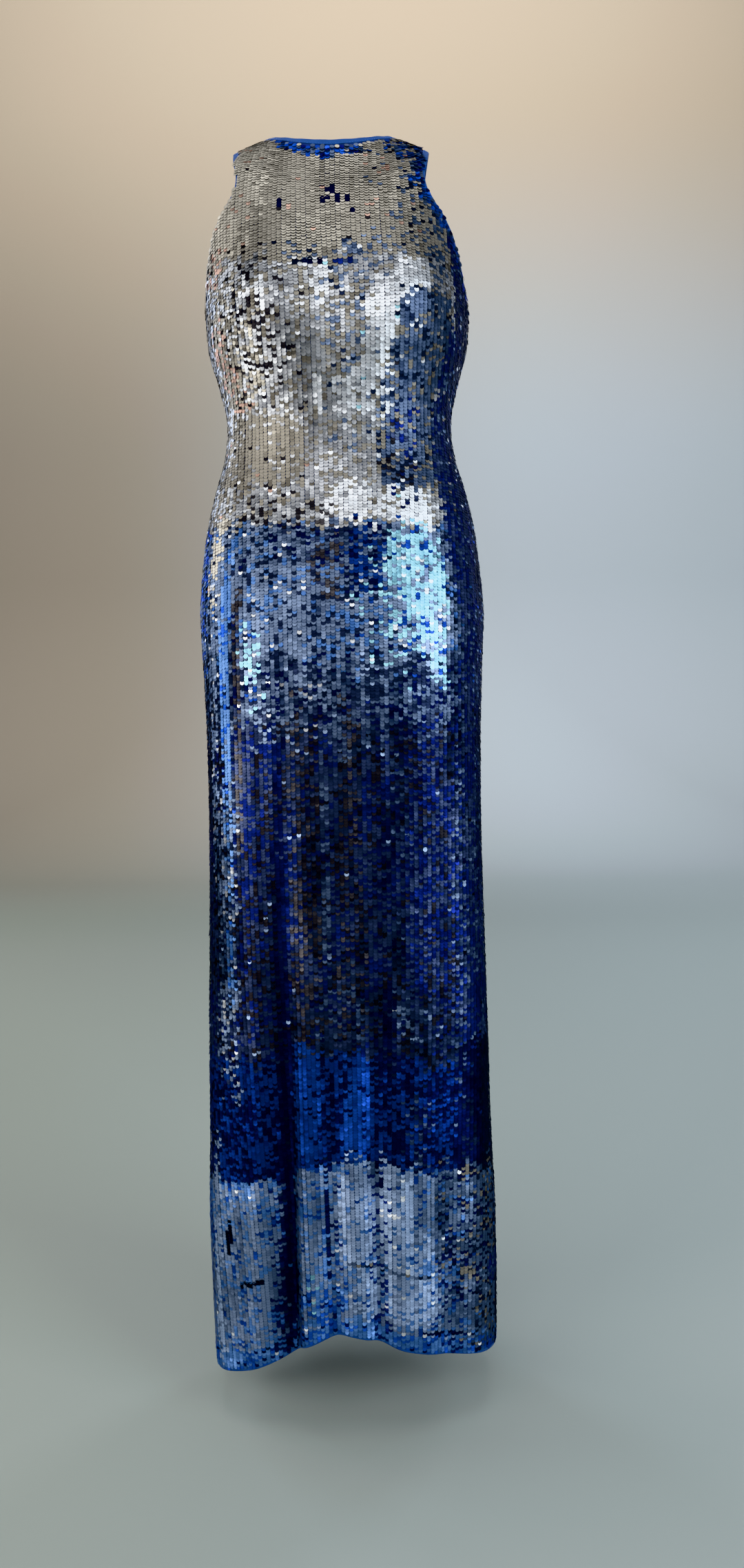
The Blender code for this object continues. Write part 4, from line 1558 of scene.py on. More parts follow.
# dark navy down the front's side on the wearer's left, partly the blue film and partly painted
# shade
SHADED_SIDE = (
    Patch(72.0, -0.120, 13.0, 0.080, Area.ROYAL, 0.97, 0.16, 4.0),
    Patch(78.0, -0.350, 19.0, 0.240, Area.ROYAL, 0.97, 0.12, 6.0),
    Patch(76.0, -0.800, 20.0, 0.260, Area.ROYAL, 0.95, 0.14, 6.0),
    Patch(76.0, -1.080, 20.0, 0.090, Area.INK, 0.98, 0.12, 5.0),
    Patch(76.0, -1.270, 20.0, 0.110, Area.SLATE, 0.95, 0.2, 5.0),
    Patch(86.0, -1.000, 9.0, 0.420, Area.INK, 0.95, 0.25, 6.0),
    Patch(72.0, -1.255, 14.0, 0.060, Area.INK, 0.34, 0.5),
    Patch(76.0, -1.290, 7.0, 0.018, Area.ROYAL, 1.0, 0.2),
    Patch(58.0, -0.820, 3.0, 0.240, Area.DEEP, 0.35, 0.3, 5.0),
)
BACK_PATCHES = (
    Patch(-150.0, -0.090, 12.0, 0.040, Area.SAND, 0.6, 0.5),
    Patch(155.0, -0.128, 14.0, 0.005, Area.FLIPPED, 0.7, 0.5),
    Patch(-165.0, -0.030, 1.4, 0.009, Area.FLIPPED, 1.0, 0.2),
    Patch(120.0, -0.110, 12.0, 0.060, Area.SLATE, 0.6, 0.5),
    Patch(150.0, -0.160, 9.0, 0.028, Area.GLARE, 0.8, 0.5),
    Patch(-150.0, -0.200, 10.0, 0.050, Area.CREAM, 0.5, 0.5),
    Patch(-126.0, -0.250, 9.0, 0.050, Area.BLUSH, 0.6, 0.5),
    Patch(135.0, -0.290, 16.0, 0.060, Area.SLATE, 0.8, 0.4),
    Patch(163.0, -0.335, 14.0, 0.040, Area.SAND, 0.8, 0.4),
    Patch(-152.0, -0.275, 14.0, 0.030, Area.GLARE, 0.6, 0.5),
    Patch(-165.0, -0.384, 16.0, 0.020, Area.GLARE, 0.7, 0.5),
    Patch(-145.0, -0.468, 14.0, 0.066, Area.ICE, 0.85, 0.2, 4.0),
    Patch(150.0, -0.470, 16.0, 0.060, Area.FROST, 0.6, 0.5),
    Patch(-118.0, -0.640, 3.0, 0.200, Area.STREAK, 0.9, 0.2, 4.0),
    Patch(128.0, -0.800, 7.0, 0.160, Area.UMBER, 0.6, 0.5),
    Patch(165.0, -0.850, 7.0, 0.120, Area.UMBER, 0.5, 0.5),
    Patch(-150.0, -0.960, 11.0, 0.030, Area.FROST, 0.4, 0.6),
    Patch(138.0, -1.082, 9.0, 0.074, Area.BRIGHT, 0.9),
    Patch(-172.0, -1.082, 8.0, 0.074, Area.BRIGHT, 0.9),
    Patch(-145.0, -1.082, 7.0, 0.074, Area.BRIGHT, 0.8),
    Patch(158.0, -1.260, 18.0, 0.090, Area.MIST, 0.85),
    Patch(-145.0, -1.270, 16.0, 0.080, Area.MIST, 0.75, 0.4),
    Patch(-165.0, -1.376, 12.0, 0.0026, Area.INK, 0.7, 0.3, 4.0),
    # painted shade in the back's folds
    Patch(119.5, -1.000, 3.4, 0.380, Area.INK, 0.85, 0.4),
    Patch(-125.0, -1.020, 3.4, 0.360, Area.INK, 0.85, 0.4),
    Patch(-164.0, -1.080, 2.8, 0.300, Area.INK, 0.70, 0.4),
)


@dataclass(frozen=True)
class Mottle:
    """Smooth seeded noise over the cloth, between -1 and 1."""

    seed: int
    across: float
    along: float
    cells: int = 64

    def at(self, x: Array, y: Array) -> Array:
        """Read the noise.

        Args:
            x: metres across the cloth.
            y: metres along the cloth.

        Returns:
            The noise at each place.
        """
        rng = np.random.default_rng(self.seed)
        lattice = rng.uniform(-1.0, 1.0, (self.cells, self.cells))
        u = x / self.across + 0.5 * self.cells
        v = y / self.along + 0.5 * self.cells
        column = np.floor(u).astype(int)
        row = np.floor(v).astype(int)
        s = u - column
        t = v - row
        s = s * s * (3.0 - 2.0 * s)
        t = t * t * (3.0 - 2.0 * t)

        def corner(right: int, up: int) -> Array:
            """Lattice value at one corner of each cell."""
            return lattice[(row + up) % self.cells, (column + right) % self.cells]

        low = corner(0, 0) * (1.0 - s) + corner(1, 0) * s
        high = corner(0, 1) * (1.0 - s) + corner(1, 1) * s
        return low * (1.0 - t) + high * t


class Grain(Enum):
    """Noises of the scheme: number, and metres across and along of one lump."""

    FINE = (0, 0.009, 0.011)
    BROAD = (1, 0.045, 0.060)
    DRIFT = (2, 0.030, 0.045)
    STREAK = (3, 0.0080, 0.110)
    SPECK = (4, 0.0062, 0.0110)
    OTHER_VEIN = (5, 0.0050, 0.0100)
    FLECK_VEIN = (6, 0.0050, 0.0100)


class Rows:
    """Columns of values, one row for each sequin."""

    def only(self, keep: Array) -> Self:
        """The rows that a mask keeps."""
        return type(self)(*(values[keep] for values in vars(self).values()))


@dataclass
class Spots(Rows):
    """Places of the sequins of one area of cloth."""

    turn: Array
    station: Array
    across: Array
    from_armhole: Array


@dataclass
class Coats(Rows):
    """Film, lightness and lie of each sequin."""

    tint: Array
    level: Array
    lean: Array
    sway: Array


@dataclass
class SequinScheme:
    """Which film shows where, and how the discs lie."""

    seed: int = 7
    streaks: Curve = Curve((-1.4, -1.1, -0.7, -0.4, 0.0), (0.25, 0.45, 0.55, 0.25, 0.10))
    drifts: float = 0.20
    # painted shade in the folds: depth of trough for full shade, how much darker the discs get
    # there, and the share of them turned navy
    trough: float = 0.011
    fold_shade: float = 0.6
    fold_shade_navy: float = 0.5
    fleck_light: float = 0.5
    drift_lean: float = 5.0
    streak_sway: float = 6.0
    edge_strip: float = 0.0130
    edge_turn: float = 45.0
    edge_half_turn: float = 50.0
    edge_top: float = 0.02

    def noise(self, grain: Grain, spots: Spots) -> Array:
        """Noise of one grain at each sequin."""
        layer, across, along = grain.value
        return Mottle(self.seed + layer, across, along).at(spots.across, spots.station)

    def areas(self, spots: Spots, rng: np.random.Generator) -> Array:
        """Choose the area of each sequin.

        Args:
            spots: where the sequins are.
            rng: seeded source of chance.

        Returns:
            Number of each one's area in the list of areas.
        """
        names = list(Area)
        fine = self.noise(Grain.FINE, spots)
        broad = self.noise(Grain.BROAD, spots)
        toss = rng.uniform(-1.0, 1.0, len(spots.turn))
        chosen = np.zeros(len(spots.turn), int)
        for band in BANDS:
            rough = band.ragged * (0.9 * fine + 0.6 * broad + 0.7 * toss)
            chosen[spots.station < band.top + rough] = names.index(band.area)
        rough = 0.8 * fine + 0.5 * broad
        for patch in (*FRONT_PATCHES, *BACK_PATCHES, *SHADED_SIDE):
            inside = rng.random(len(toss)) < patch.share(spots, rough)
            chosen[inside] = names.index(patch.area)
        rim = np.abs(spots.turn - self.edge_turn) < self.edge_half_turn
        rim &= spots.station < self.edge_top
        rim &= spots.from_armhole < self.edge_strip * (1.0 + 0.4 * fine)
        chosen[rim] = names.index(Area.PATCH)
        return chosen

    def clustered(self, spots: Spots, rng: np.random.Generator, grain: Grain) -> Array:
        """Even chance between 0 and 1 that neighbours along a row tend to share."""
        mixed = rng.random(len(spots.turn)) + 0.5 * self.noise(grain, spots)
        return np.argsort(np.argsort(mixed)) / len(mixed)

    def coats(self, spots: Spots, rng: np.random.Generator) -> Coats:
        """Coat of each sequin.

        Args:
            spots: where the sequins are.
            rng: seeded source of chance.

        Returns:
            Film, lightness and lie of each.
        """
        chosen = self.areas(spots, rng)
        looks = [area.value for area in Area]

        def column(name: str) -> Array:
            """One number of each sequin's look."""
            return np.array([getattr(look, name) for look in looks])[chosen]

        def films(name: str) -> Array:
            """One film of each sequin's look."""
            return np.array([TINTS.index(getattr(look, name)) for look in looks])[chosen]

        count = len(chosen)
        drift = self.noise(Grain.DRIFT, spots)
        streaks = self.noise(Grain.STREAK, spots) * self.streaks.at(spots.station)
        speck = self.noise(Grain.SPECK, spots)
        other = self.clustered(spots, rng, Grain.OTHER_VEIN)
        other = other < column("share") * (1.0 + 0.8 * drift)
        tint = np.where(other, films("other"), films("tint"))
        light = column("light") * (1.0 + streaks + self.drifts * drift)
        light = light + column("spread") * (0.4 * rng.uniform(-1, 1, count) + 0.8 * speck)
        # painted shade: discs in a fold's trough are darkened, and some of them turned navy
        fold = np.clip(-FORM.fold_offset(spots.turn, spots.station) / self.trough, 0.0, 1.0)
        light = light * (1.0 - self.fold_shade * fold)
        shaded_navy = rng.random(count) < self.fold_shade_navy * fold
        tint = np.where(shaded_navy, TINTS.index(Tint.NAVY), tint)
        fleck = self.clustered(spots, rng, Grain.FLECK_VEIN)
        fleck = fleck < column("flecks") * (1.0 - 2.0 * streaks)
        tint = np.where(fleck, films("fleck"), tint)
        light = np.where(fleck, self.fleck_light * light, light)
        # painted glints: a few discs at random are set bright
        glint = rng.random(count) < column("glints")
        light = np.where(glint, rng.uniform(0.5, 1.0, count), light)
        tint = np.where(glint, films("glint"), tint)
        step = np.floor(np.sqrt(np.clip(light, 0.0, 1.0)) * LEVELS)
        level = np.clip(step, 0, LEVELS - 1).astype(int)
        lean = column("lean") + rng.normal(0.0, 1.0, count) * column("sway")
        lean = lean + self.drift_lean * drift
        sway = rng.normal(0.0, 1.0, count) * column("sway") + self.streak_sway * streaks
        return Coats(tint.astype(int), level, lean, sway)


@dataclass
class SequinField:
    """Upright rows of cupped discs sewn on one panel."""

    name: str
    behind: bool
    sides: tuple[int, ...]
    breaks: tuple[float, ...]
    seed: int
    radius: float = 0.00278
    row_pitch: float = 0.0051
    disc_pitch: float = 0.0032
    first_row: float = 0.00255
    seam_rows: tuple[float, ...] = ()
    margin: float = 0.0018
    hole_insets: tuple[float, float] = (0.0026, 0.0014)
    bare_top: float = 0.0055
    hem_margin: float = 0.0045
    strip: float = 0.0095
    cup: float = 0.00011
    stand: float = 0.00030
    row_step: float = 0.00025
    wander: float = 0.00030
    wander_size: tuple[float, float] = (0.030, 0.070)
    wander_from: float = 0.03
    corners: int = 8
    reach: float = 0.27
    reach_turn: float = 100.0
    reach_steps: int = 201
    station_step: float = 0.004
    row_jitter: float = 0.00010
    disc_jitter: float = 0.00030
    back_shift: float = 0.6
    bare_neck: float = 0.0085
    clock_step: float = 3.0
    shoulder_clock: float = 12.0
    binding_reach: float = 0.0100
    binding_fade: float = 0.0020
    cell_share: float = 0.46

    def spots(self, side: int, rng: np.random.Generator) -> Spots:
        """Places of the discs on one half of the panel.

        Args:
            side: 1 on the wearer's left, -1 on the right.
            rng: seeded source of chance.

        Returns:
            The places.
        """
        offset = np.linspace(0.0, self.reach_turn, self.reach_steps)
        turn_line = side * ((CENTRE_BACK - offset) if self.behind else offset)
        end = FORM.neck_edge + 0.5 * self.station_step
        station = np.arange(FORM.hem, end, self.station_step)
        grid = FORM.surface(turn_line[None, :], station[:, None])
        length = flat_lengths(grid, 1)
        rows = np.arange(self.first_row, self.reach, self.row_pitch)
        rows = np.append(self.seam_rows, rows)
        rows = rows + rng.normal(0.0, self.row_jitter, len(rows))
        wander = Mottle(self.seed, *self.wander_size).at(rows[None, :], station[:, None])
        rows = rows + self.wander * wander * np.clip(rows / self.wander_from, 0.0, 1.0)
        turn = np.stack([
            np.interp(row, line, turn_line) for row, line in zip(rows, length)
        ])
        down = flat_lengths(FORM.surface(turn, station[:, None]), 0)
        found = []
        for index in range(rows.shape[1]):
            count = int(down[-1, index] / self.disc_pitch)
            spots = (np.arange(count) + rng.random()) * self.disc_pitch
            spots = spots + rng.normal(0.0, self.disc_jitter, count)
            level = np.interp(spots, down[:, index], station)
            if index < len(self.seam_rows):
                level = level[level < FORM.zip_end]
            across = np.full(len(level), side * rows[0, index])
            found.append((np.interp(level, station, turn[:, index]), level, across))
        turn, station, across = (np.concatenate(column) for column in zip(*found))
        if self.behind:
            across = across + side * self.back_shift
        return Spots(turn, station, across, self.armhole_distance(turn, station))

    def armhole_distance(self, turn: Array, station: Array) -> Array:
        """Measure how far places are from the edge of their armhole.

        Args:
            turn: degrees round the body.
            station: metres up the side line.

        Returns:
            Metres for each place.
        """
        clock = np.arange(0.0, 360.0, self.clock_step)
        edge_turn, edge_station = FORM.armhole_edge(clock)
        edge = FORM.surface(edge_turn, edge_station)
        places = FORM.surface(np.abs(turn), station)
        nearest = np.full(len(turn), 1.0)
        for point in edge:
            gap = np.linalg.norm(places - point, axis=-1)
            nearest = np.minimum(nearest, gap)
        return nearest

    def on_cloth(self, spots: Spots) -> Array:
        """Find the places inside the panel's sewn area.

        Args:
            spots: the places.

        Returns:
            True for each place inside.
        """
        turn = np.abs(spots.turn)
        station = spots.station
        inset = np.where(station < FORM.slit_top, self.strip, self.margin)
        edge = FORM.side_edge(station, self.behind, inset)
        keep = turn > edge if self.behind else turn < edge
        keep &= station < FORM.neck_edge - self.bare_neck
        keep &= station > FORM.hem + self.hem_margin
        clock = np.arange(0.0, 360.0, self.clock_step)
        top = np.clip(3.0 - np.abs(wrapped(clock)) / self.shoulder_clock, 0.0, 1.0)
        for side, inset in zip((1, -1), self.hole_insets):
            hole_turn, hole_station = FORM.armhole_line(clock, inset + self.bare_top * top)
            inside = inside_loop(turn, station, hole_turn, hole_station)
            keep &= ~(inside & (side * spots.turn > 0.0))
        return keep

    def discs(self, spots: Spots, coats: Coats, name: str) -> MeshDraft:
        """Mesh of the discs.

        Args:
            spots: their places.
            coats: their films and lie.
            name: name of the piece.

        Returns:
            The draft, with one centre and a rim of corners for each disc.
        """
        around, up, out = FORM.axes(spots.turn, spots.station)
        lean = np.radians(coats.lean)[:, None]
        sway = np.radians(coats.sway)[:, None]
        normal = unit(out * np.cos(lean) + up * np.sin(lean) + around * np.sin(sway))
        across = unit(np.cross(up, normal))
        along = np.cross(normal, across)
        over = (self.binding_reach - spots.from_armhole) / self.binding_fade
        over = np.clip(over, 0.0, 1.0)[:, None]
        row = np.round((np.abs(spots.across) - self.first_row) / self.row_pitch)
        lift = self.stand + self.radius * np.abs(np.sin(lean)) + self.stand * over
        lift = lift + self.row_step * (row % 2.0)[:, None]
        centre = FORM.surface(spots.turn, spots.station) + out * lift
        angle = np.linspace(0.0, 2.0 * math.pi, self.corners, endpoint=False)
        ring = centre[:, None] + self.radius * (
            across[:, None] * np.cos(angle)[None, :, None]
            + along[:, None] * np.sin(angle)[None, :, None]
        )
        middle = centre - normal * self.cup
        points = np.concatenate([middle[:, None], ring], axis=1)
        corner = np.arange(self.corners)
        fan = np.stack(
            [np.zeros(self.corners, int), corner + 1, (corner + 1) % self.corners + 1], -1
        )
        faces = fan[None] + (np.arange(len(centre)) * (self.corners + 1))[:, None, None]
        return MeshDraft(name, points.reshape(-1, 3), faces.reshape(-1, 3))

    def paint(self, piece: Piece, coats: Coats) -> None:
        """Give each disc its film, its lightness and its maps.

        Args:
            piece: the discs.
            coats: film and lightness of each.
        """
        mesh = piece.data
        mesh.polygons.foreach_set(
            "material_index", np.repeat(coats.tint, self.corners).astype(np.int32)
        )
        level = ((coats.level + 0.5) / LEVELS) ** 2
        layer = mesh.attributes.new("level", "FLOAT", "POINT")
        values = np.repeat(level, self.corners + 1).astype(np.float32)
        layer.data.foreach_set("value", values)
        angle = np.linspace(0.0, 2.0 * math.pi, self.corners, endpoint=False)
        rim = np.stack([np.cos(angle), np.sin(angle)], -1)
        fan = np.stack([0.0 * rim, rim, np.roll(rim, -1, axis=0)], axis=1)
        disc = np.broadcast_to(fan, (len(level), *fan.shape))
        MeshDraft.add_uv(mesh, "disc", disc)
        cell = np.stack([coats.level, coats.tint], -1) + 0.5
        bake = (cell[:, None, None, :] + self.cell_share * disc) / (LEVELS, len(TINTS))
        MeshDraft.add_uv(mesh, "OFBake", bake)

    def build(self, scheme: SequinScheme, films: Sequence[Material]) -> list[Piece]:
        """Make the sequins of the panel in a few pieces, one below another.

        Args:
            scheme: which film shows where.
            films: material of each tint.

        Returns:
            The pieces.
        """
        rng = np.random.default_rng(self.seed)
        halves = [self.spots(side, rng) for side in self.sides]
        parts = zip(*(vars(half).values() for half in halves))
        spots = Spots(*(np.concatenate(part) for part in parts))
        spots = spots.only(self.on_cloth(spots))
        coats = scheme.coats(spots, rng)
        pieces = []
        limits = (1.0, *self.breaks, -2.0)
        for number, (high, low) in enumerate(zip(limits, limits[1:]), start=1):
            keep = (spots.station <= high) & (spots.station > low)
            name = f"{self.name}_{number}"
            piece = self.discs(spots.only(keep), coats.only(keep), name).build(False)
            pieces.append(dress(piece, GOWN, films))
            self.paint(piece, coats.only(keep))
        return pieces


def inside_loop(x: Array, y: Array, loop_x: Array, loop_y: Array) -> Array:
    """Whether points lie inside a closed line.

    Args:
        x: first coordinate of the points.
        y: second coordinate of the points.
        loop_x: first coordinate of the line's corners.
        loop_y: second coordinate of the line's corners.

    Returns:
        True for each point inside.
    """
    inside = np.zeros(len(x), bool)
    next_x = np.roll(loop_x, -1)
    next_y = np.roll(loop_y, -1)
    for x0, y0, x1, y1 in zip(loop_x, loop_y, next_x, next_y):
        if y0 == y1:
            continue
        crosses = (y0 > y) != (y1 > y)
        inside ^= crosses & (x < x0 + (y - y0) / (y1 - y0) * (x1 - x0))
    return inside


# ---- Zip ----
@dataclass
class BackZip:
    """Closed centre-back zip: its tape, its coil, its slider and its pull tab."""

    tape_face: float = -0.0018
    tape_thickness: float = 0.0005
    tape_width: float = 0.024
    tape_length: float = 0.545
    tape_rows: int = 110
    tape_columns: int = 7
    coil_starts: float = 0.004
    coil_ends: float = 0.002
    tooth_pitch: float = 0.0010
    tooth_half: Triple = (0.00115, 0.00045, 0.0007)
    tooth_middle: float = -0.0011
    tooth_shift: float = 0.00055
    edge_bevel: float = 0.00018
    bevel_steps: int = 3
    sharp_angle: float = 30.0
    flat_angle: float = 1.0
    weld: float = 1.0e-6
    weave: WovenFinish = WovenFinish(
        "zip_tape_weave", (0.004, 0.015, 0.10), (0.02, 0.07, 0.34)
    )
    nylon: NylonFinish = NylonFinish(
        "zip_coil_nylon", (0.006, 0.02, 0.14), (0.03, 0.09, 0.42)
    )
    metal: MetalFinish = MetalFinish(
        "zip_polished_metal", (0.46, 0.47, 0.50), (0.76, 0.77, 0.80)
    )

    def tape(self, finish: Material) -> Piece:
        """Make the woven tape behind the coil, its margins sewn under the back panels.

        Args:
            finish: material of the tape.

        Returns:
            The tape.
        """
        station = np.linspace(FORM.zip_end + FORM.seam_gap, FORM.neck_edge, self.tape_rows)
        station = station[:, None]
        share = np.linspace(-1.0, 1.0, self.tape_columns)[None, :]
        half = FORM.turns_for(0.5 * self.tape_width, station, CENTRE_BACK)
        turn = CENTRE_BACK + half * share
        outer = FORM.cloth(turn, station, self.tape_face)
        inner = FORM.cloth(turn, station, self.tape_face - self.tape_thickness)
        cut = np.stack([flat_lengths(outer, 1), flat_lengths(outer, 0)], -1)
        draft = wall_draft("zip_tape_cloth", outer, inner, cut, False)
        return dress(draft.build(), GOWN, [finish], ["zip_chain"])

    def coil(self, finish: Material) -> Piece:
        """Make the teeth of the coil, from each side in turn.

        Args:
            finish: material of the coil.

        Returns:
            All the teeth as one piece.
        """
        low = FORM.zip_end + self.coil_starts
        count = int((FORM.neck_edge - self.coil_ends - low) / self.tooth_pitch)
        station = low + np.arange(count) * self.tooth_pitch
        side = np.where(np.arange(count) % 2 == 0, 1.0, -1.0)
        shift = FORM.turns_for(self.tooth_shift, station, CENTRE_BACK)
        turn = CENTRE_BACK + shift * side
        centres = FORM.cloth(turn, station, self.tooth_middle)
        axes = FORM.axes(turn, station)
        draft = repeated_draft("zip_coil_teeth", Seed.BLOCK, centres, axes, self.tooth_half)
        return dress(draft.build(), GOWN, [finish])

    def rounded(self, node: str, name: str, body: str, finish: Material) -> Piece:
        """Make a metal piece with the form of a node and softened edges.

        Args:
            node: node that it stands for.
            name: name of the piece.
            body: the body that it moves with.
            finish: material of the metal.

        Returns:
            The piece.
        """
        work = bmesh.new()
        work.from_mesh(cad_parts[node].data)
        bmesh.ops.remove_doubles(work, verts=work.verts, dist=self.weld)
        bmesh.ops.dissolve_limit(
            work, angle_limit=math.radians(self.flat_angle), verts=work.verts, edges=work.edges
        )
        mesh = bpy.data.meshes.new(name)
        work.to_mesh(mesh)
        work.free()
        mesh.shade_smooth()
        piece = bpy.data.objects.new(name, mesh)
        bpy.context.scene.collection.objects.link(piece)
        bevel = piece.modifiers.new("soft_edges", "BEVEL")
        bevel.width = self.edge_bevel
        bevel.segments = self.bevel_steps
        bevel.limit_method = "ANGLE"
        bevel.angle_limit = math.radians(self.sharp_angle)
        bevel.harden_normals = True
        return dress(piece, body, [finish], [node])

    def build(self) -> list[Piece]:
        """Make the whole zip.

        Returns:
            Its tape, coil, slider and pull tab.
        """
        cloth = self.tape(self.weave.material())
        teeth = self.coil(self.nylon.material())
        polished = self.metal.material()
        slider = self.rounded("zip_slider", "zip_slider_metal", GOWN, polished)
        tab = self.rounded("zip_pull", "zip_pull_tab", PULL, polished)
        return [cloth, teeth, slider, tab]


# ---- The gown ----
@dataclass
class Gown:
    """All the cloth and sequins of the gown."""

    scheme: SequinScheme = field(default_factory=SequinScheme)
    ground: JerseyFinish = JerseyFinish(
        "blue_jersey", (0.001, 0.004, 0.035), (0.006, 0.028, 0.17)
    )
    plain: JerseyFinish = JerseyFinish(
        "plain_royal_jersey", (0.002, 0.012, 0.08), (0.010, 0.062, 0.23), 0.0009, 0.0007
    )
    thread: ThreadFinish = ThreadFinish(
        "blue_thread", (0.006, 0.02, 0.16), (0.03, 0.12, 0.55)
    )

    def panels(self) -> dict[str, tuple[PanelCloth, Piece]]:
        """Make the three knitted panels.

        Returns:
            Each panel and its cloth, by the name of the cloth.
        """
        finish = self.ground.material()
        front = FlatCut(0.52, 1.42, 0.62)
        back = FlatCut(0.27, 1.46, 0.31)
        cuts = (
            PanelCloth("front_cloth", "front_panel", False, 1, front, columns=121),
            PanelCloth("back_left_cloth", "back_left_panel", True, 1, back),
            PanelCloth("back_right_cloth", "back_right_panel", True, -1, back),
        )
        return {cut.name: (cut, cut.build(finish)) for cut in cuts}

    def strips(self) -> list[FoldedStrip]:
        """List the bindings, the hems and the turned edges of the slits.

        Returns:
            The strips, from the neck down.
        """
        sides = ((1, "left"), (-1, "right"))
        bind = {"leg": 0.0060, "stitched_at": 0.0049}
        turned = {"depth": 0.0020, "proud": 0.0}
        hem = {"leg": 0.0200, "stitched_at": 0.0190, "pucker": 0.0, **turned}
        edge = {"leg": 0.0080, "stitched_at": 0.0068, "pucker": 0.0001, "steps": 60, **turned}
        return [
            NeckStrip("neck_bind", ("neck_binding",), cut=FlatCut(0.014, 0.42), **bind),
            *(
                ArmholeStrip(
                    f"armhole_bind_{word}", (f"armhole_binding_{word}",),
                    cut=FlatCut(0.014, 0.46), ring=True, side=side, **bind,
                )
                for side, word in sides
            ),
            HemStrip("front_hem_turn", ("front_hem_band",), cut=FlatCut(0.041, 0.50), **hem),
            *(
                HemStrip(
                    f"back_{word}_hem_turn", (f"back_{word}_hem_band",),
                    cut=FlatCut(0.041, 0.26), behind=True, side=side, steps=90, **hem,
                )
                for side, word in sides
            ),
            *(
                SlitStrip(
                    f"slit_turn_{face}_{word}", (f"slit_strip_{face}_{word}",),
                    cut=FlatCut(0.017, 0.27), behind=behind, side=side, **edge,
                )
                for behind, face in ((False, "front"), (True, "back"))
                for side, word in sides
            ),
        ]

    def fields(self) -> dict[str, SequinField]:
        """List the sequins of each panel.

        Returns:
            Field of sequins, by the name of the cloth that carries it.
        """
        back = {
            "behind": True, "breaks": (-0.70,), "first_row": 0.0062, "seam_rows": (0.0024,),
        }
        return {
            "front_cloth": SequinField("front_sequins", False, (1, -1), (-0.42, -0.90), 11),
            "back_left_cloth": SequinField("back_left_sequins", sides=(1,), seed=12, **back),
            "back_right_cloth": SequinField("back_right_sequins", sides=(-1,), seed=13, **back),
        }

    def build(self) -> list[Piece]:
        """Make every piece of cloth, its stitches and its sequins.

        Returns:
            The pieces.
        """
        panels = self.panels()
        pieces = [cloth for _, cloth in panels.values()]
        plain = self.plain.material()
        thread = self.thread.material()
        for strip in self.strips():
            piece = strip.build(plain)
            stitches = StitchRow(f"{strip.name}_stitches", strip).build(thread)
            pieces += [piece, stitches]
        films = [tint.value.material() for tint in Tint]
        fields = self.fields()
        for name, (cut, cloth) in panels.items():
            sequins = fields[name].build(self.scheme, films)
            pieces += sequins
        return pieces


# ---- Studio ----
@dataclass(frozen=True)
class Lamp:
    """Soft box that stands in the studio."""

    name: str
    place: Triple
    size: tuple[float, float]
    power: float
    colour: Colour
    aim: Triple = (0.0, 0.0, -0.6)

    def build(self) -> None:
        """Set the soft box up and point it at its aim."""
        data = bpy.data.lights.new(self.name, "AREA")
        data.shape = "RECTANGLE"
        data.size, data.size_y = self.size
        data.energy = self.power
        data.color = self.colour
        lamp = bpy.data.objects.new(self.name, data)
        direction = Vector(self.aim) - Vector(self.place)
        lamp.matrix_world = Matrix.LocRotScale(
            Vector(self.place), direction.to_track_quat("-Z", "Y"), None
        )
        bpy.context.scene.collection.objects.link(lamp)


LAMPS = (
    Lamp("key_box", (2.3, -1.9, 0.2), (1.5, 2.4), 100.0, (0.93, 0.98, 1.0)),
    Lamp("fill_box", (-2.3, -1.9, 0.0), (2.2, 2.6), 88.0, (1.0, 0.96, 0.90)),
    Lamp("front_box", (-0.5, -3.2, 1.4), (1.6, 1.0), 35.0, (1.0, 0.98, 0.95)),
    Lamp("top_box", (0.0, -0.4, 2.2), (1.6, 1.6), 40.0, (1.0, 0.99, 0.97)),
    Lamp("back_left_box", (-2.2, 2.2, 0.4), (1.0, 1.6), 40.0, (0.80, 0.88, 1.0)),
    Lamp("back_right_box", (2.2, 2.4, 0.4), (1.0, 1.6), 40.0, (0.85, 0.92, 1.0)),
    Lamp("side_box", (-2.6, 0.7, 0.8), (1.6, 2.6), 42.0, (1.0, 0.98, 0.95)),
    Lamp("wall_box", (0.0, 2.6, 2.8), (3.6, 0.8), 60.0, (1.0, 0.98, 0.95), (0.0, 5.8, 0.2)),
)


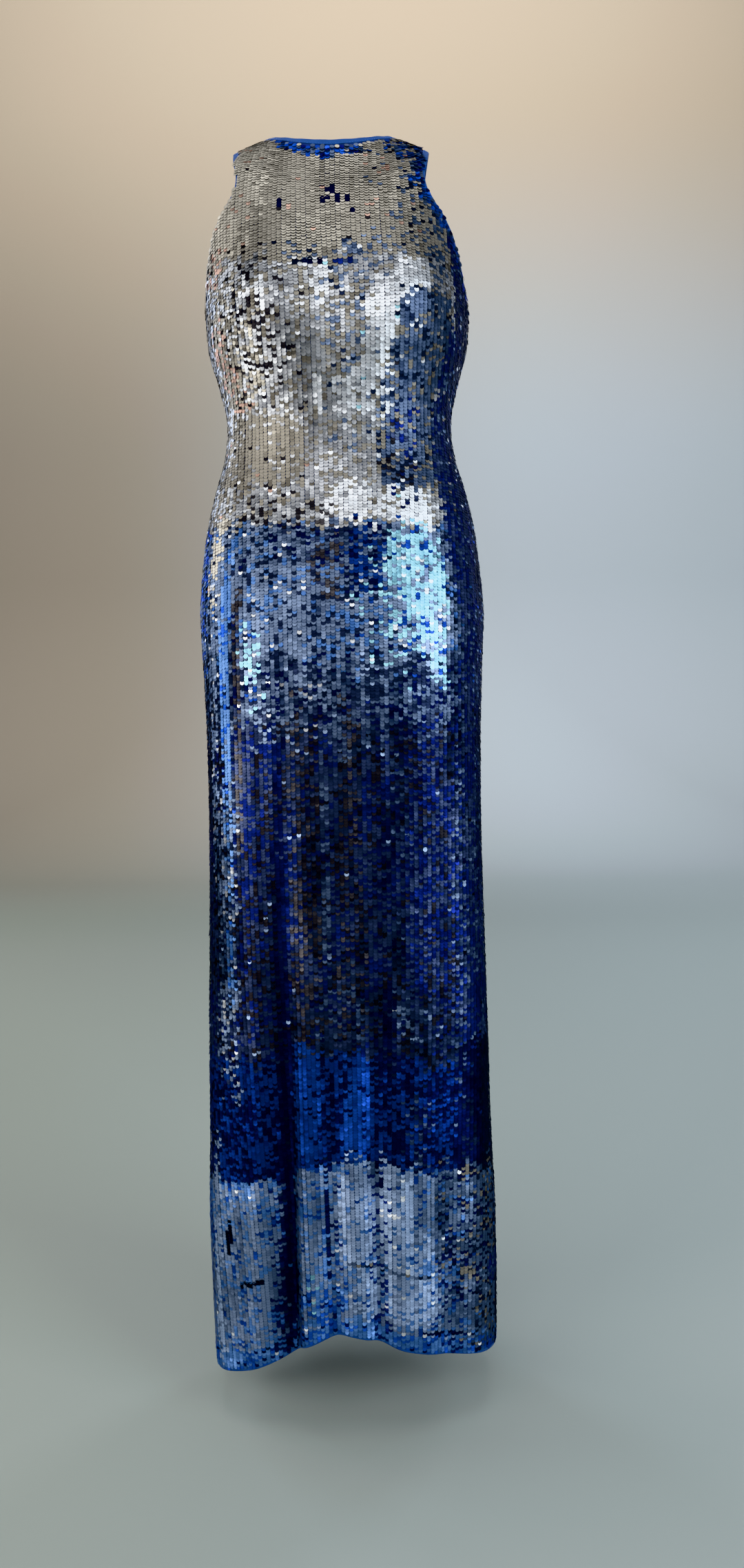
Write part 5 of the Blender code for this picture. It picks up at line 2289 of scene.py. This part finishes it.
@dataclass
class Studio:
    """Pale sweep, soft lights and the camera."""

    floor: float = -1.452
    half_width: float = 5.0
    near: float = -4.0
    wall: float = 4.2
    top: float = 4.5
    bend: float = 1.2
    floor_steps: int = 11
    bend_points: int = 25
    columns: int = 21
    paint: StageFinish = StageFinish()
    camera_at: Triple = (0.0315, -1.363, -0.521)
    camera_pitch: float = -7.28
    camera_roll: float = -0.75
    camera_clip: tuple[float, float] = (0.05, 50.0)
    lens: float = 26.88
    sensor: float = 36.0
    room: Colour = (0.80, 0.82, 0.86)
    room_light: float = 0.35

    def sweep(self) -> Piece:
        """Make the floor that bends up into the wall behind.

        Returns:
            The sweep.
        """
        turn = np.radians(np.linspace(0.0, 90.0, self.bend_points))
        y = self.wall - self.bend + self.bend * np.sin(turn)
        z = self.floor + self.bend - self.bend * np.cos(turn)
        near = np.linspace(self.near, y[0], self.floor_steps + 1)[:-1]
        y = np.concatenate([near, y, [self.wall]])
        z = np.concatenate([np.full(self.floor_steps, self.floor), z, [self.top]])
        x = np.linspace(-self.half_width, self.half_width, self.columns)
        points = np.stack(np.broadcast_arrays(x[None], y[:, None], z[:, None]), -1)
        rows, columns = points.shape[:2]
        r, c = (grid.ravel() for grid in np.indices((rows - 1, columns - 1)))
        first = r * columns + c
        faces = np.stack([first, first + 1, first + columns + 1, first + columns], -1)
        piece = MeshDraft("studio_sweep", points.reshape(-1, 3), faces).build()
        piece.data.materials.append(self.paint.material())
        return piece

    def lights(self) -> None:
        """Set up the soft boxes and a dim even room."""
        for lamp in LAMPS:
            lamp.build()
        world = bpy.data.worlds.new("studio_room")
        world.use_nodes = True
        background = world.node_tree.nodes["Background"]
        background.inputs["Color"].default_value = (*self.room, 1.0)
        background.inputs["Strength"].default_value = self.room_light
        bpy.context.scene.world = world

    def camera(self) -> None:
        """Set the camera up in front of the gown, a little above its middle."""
        data = bpy.data.cameras.new("studio_camera")
        data.sensor_width = self.sensor
        data.lens = self.lens
        data.clip_start, data.clip_end = self.camera_clip
        camera = bpy.data.objects.new("studio_camera", data)
        pitch = Matrix.Rotation(math.radians(90.0 + self.camera_pitch), 4, "X")
        roll = Matrix.Rotation(math.radians(self.camera_roll), 4, "Z")
        camera.matrix_world = Matrix.Translation(self.camera_at) @ pitch @ roll
        bpy.context.scene.collection.objects.link(camera)
        bpy.context.scene.camera = camera

    def build(self) -> list[Piece]:
        """Set up the whole studio.

        Returns:
            Its one piece, the sweep.
        """
        bpy.context.scene.view_settings.view_transform = "Khronos PBR Neutral"
        sweep = self.sweep()
        self.lights()
        self.camera()
        return [sweep]


def main() -> None:
    """Build the gown, its zip and the studio in that order, and report each piece."""
    logging.basicConfig(level=logging.INFO, format="%(name)s %(message)s")
    gown = Gown()
    pieces = gown.build()
    pieces += BackZip().build()
    pieces += Studio().build()
    for piece in pieces:
        LOG.info("%s: %d faces", piece.name, len(piece.data.polygons))


if __name__ == "__main__":
    main()
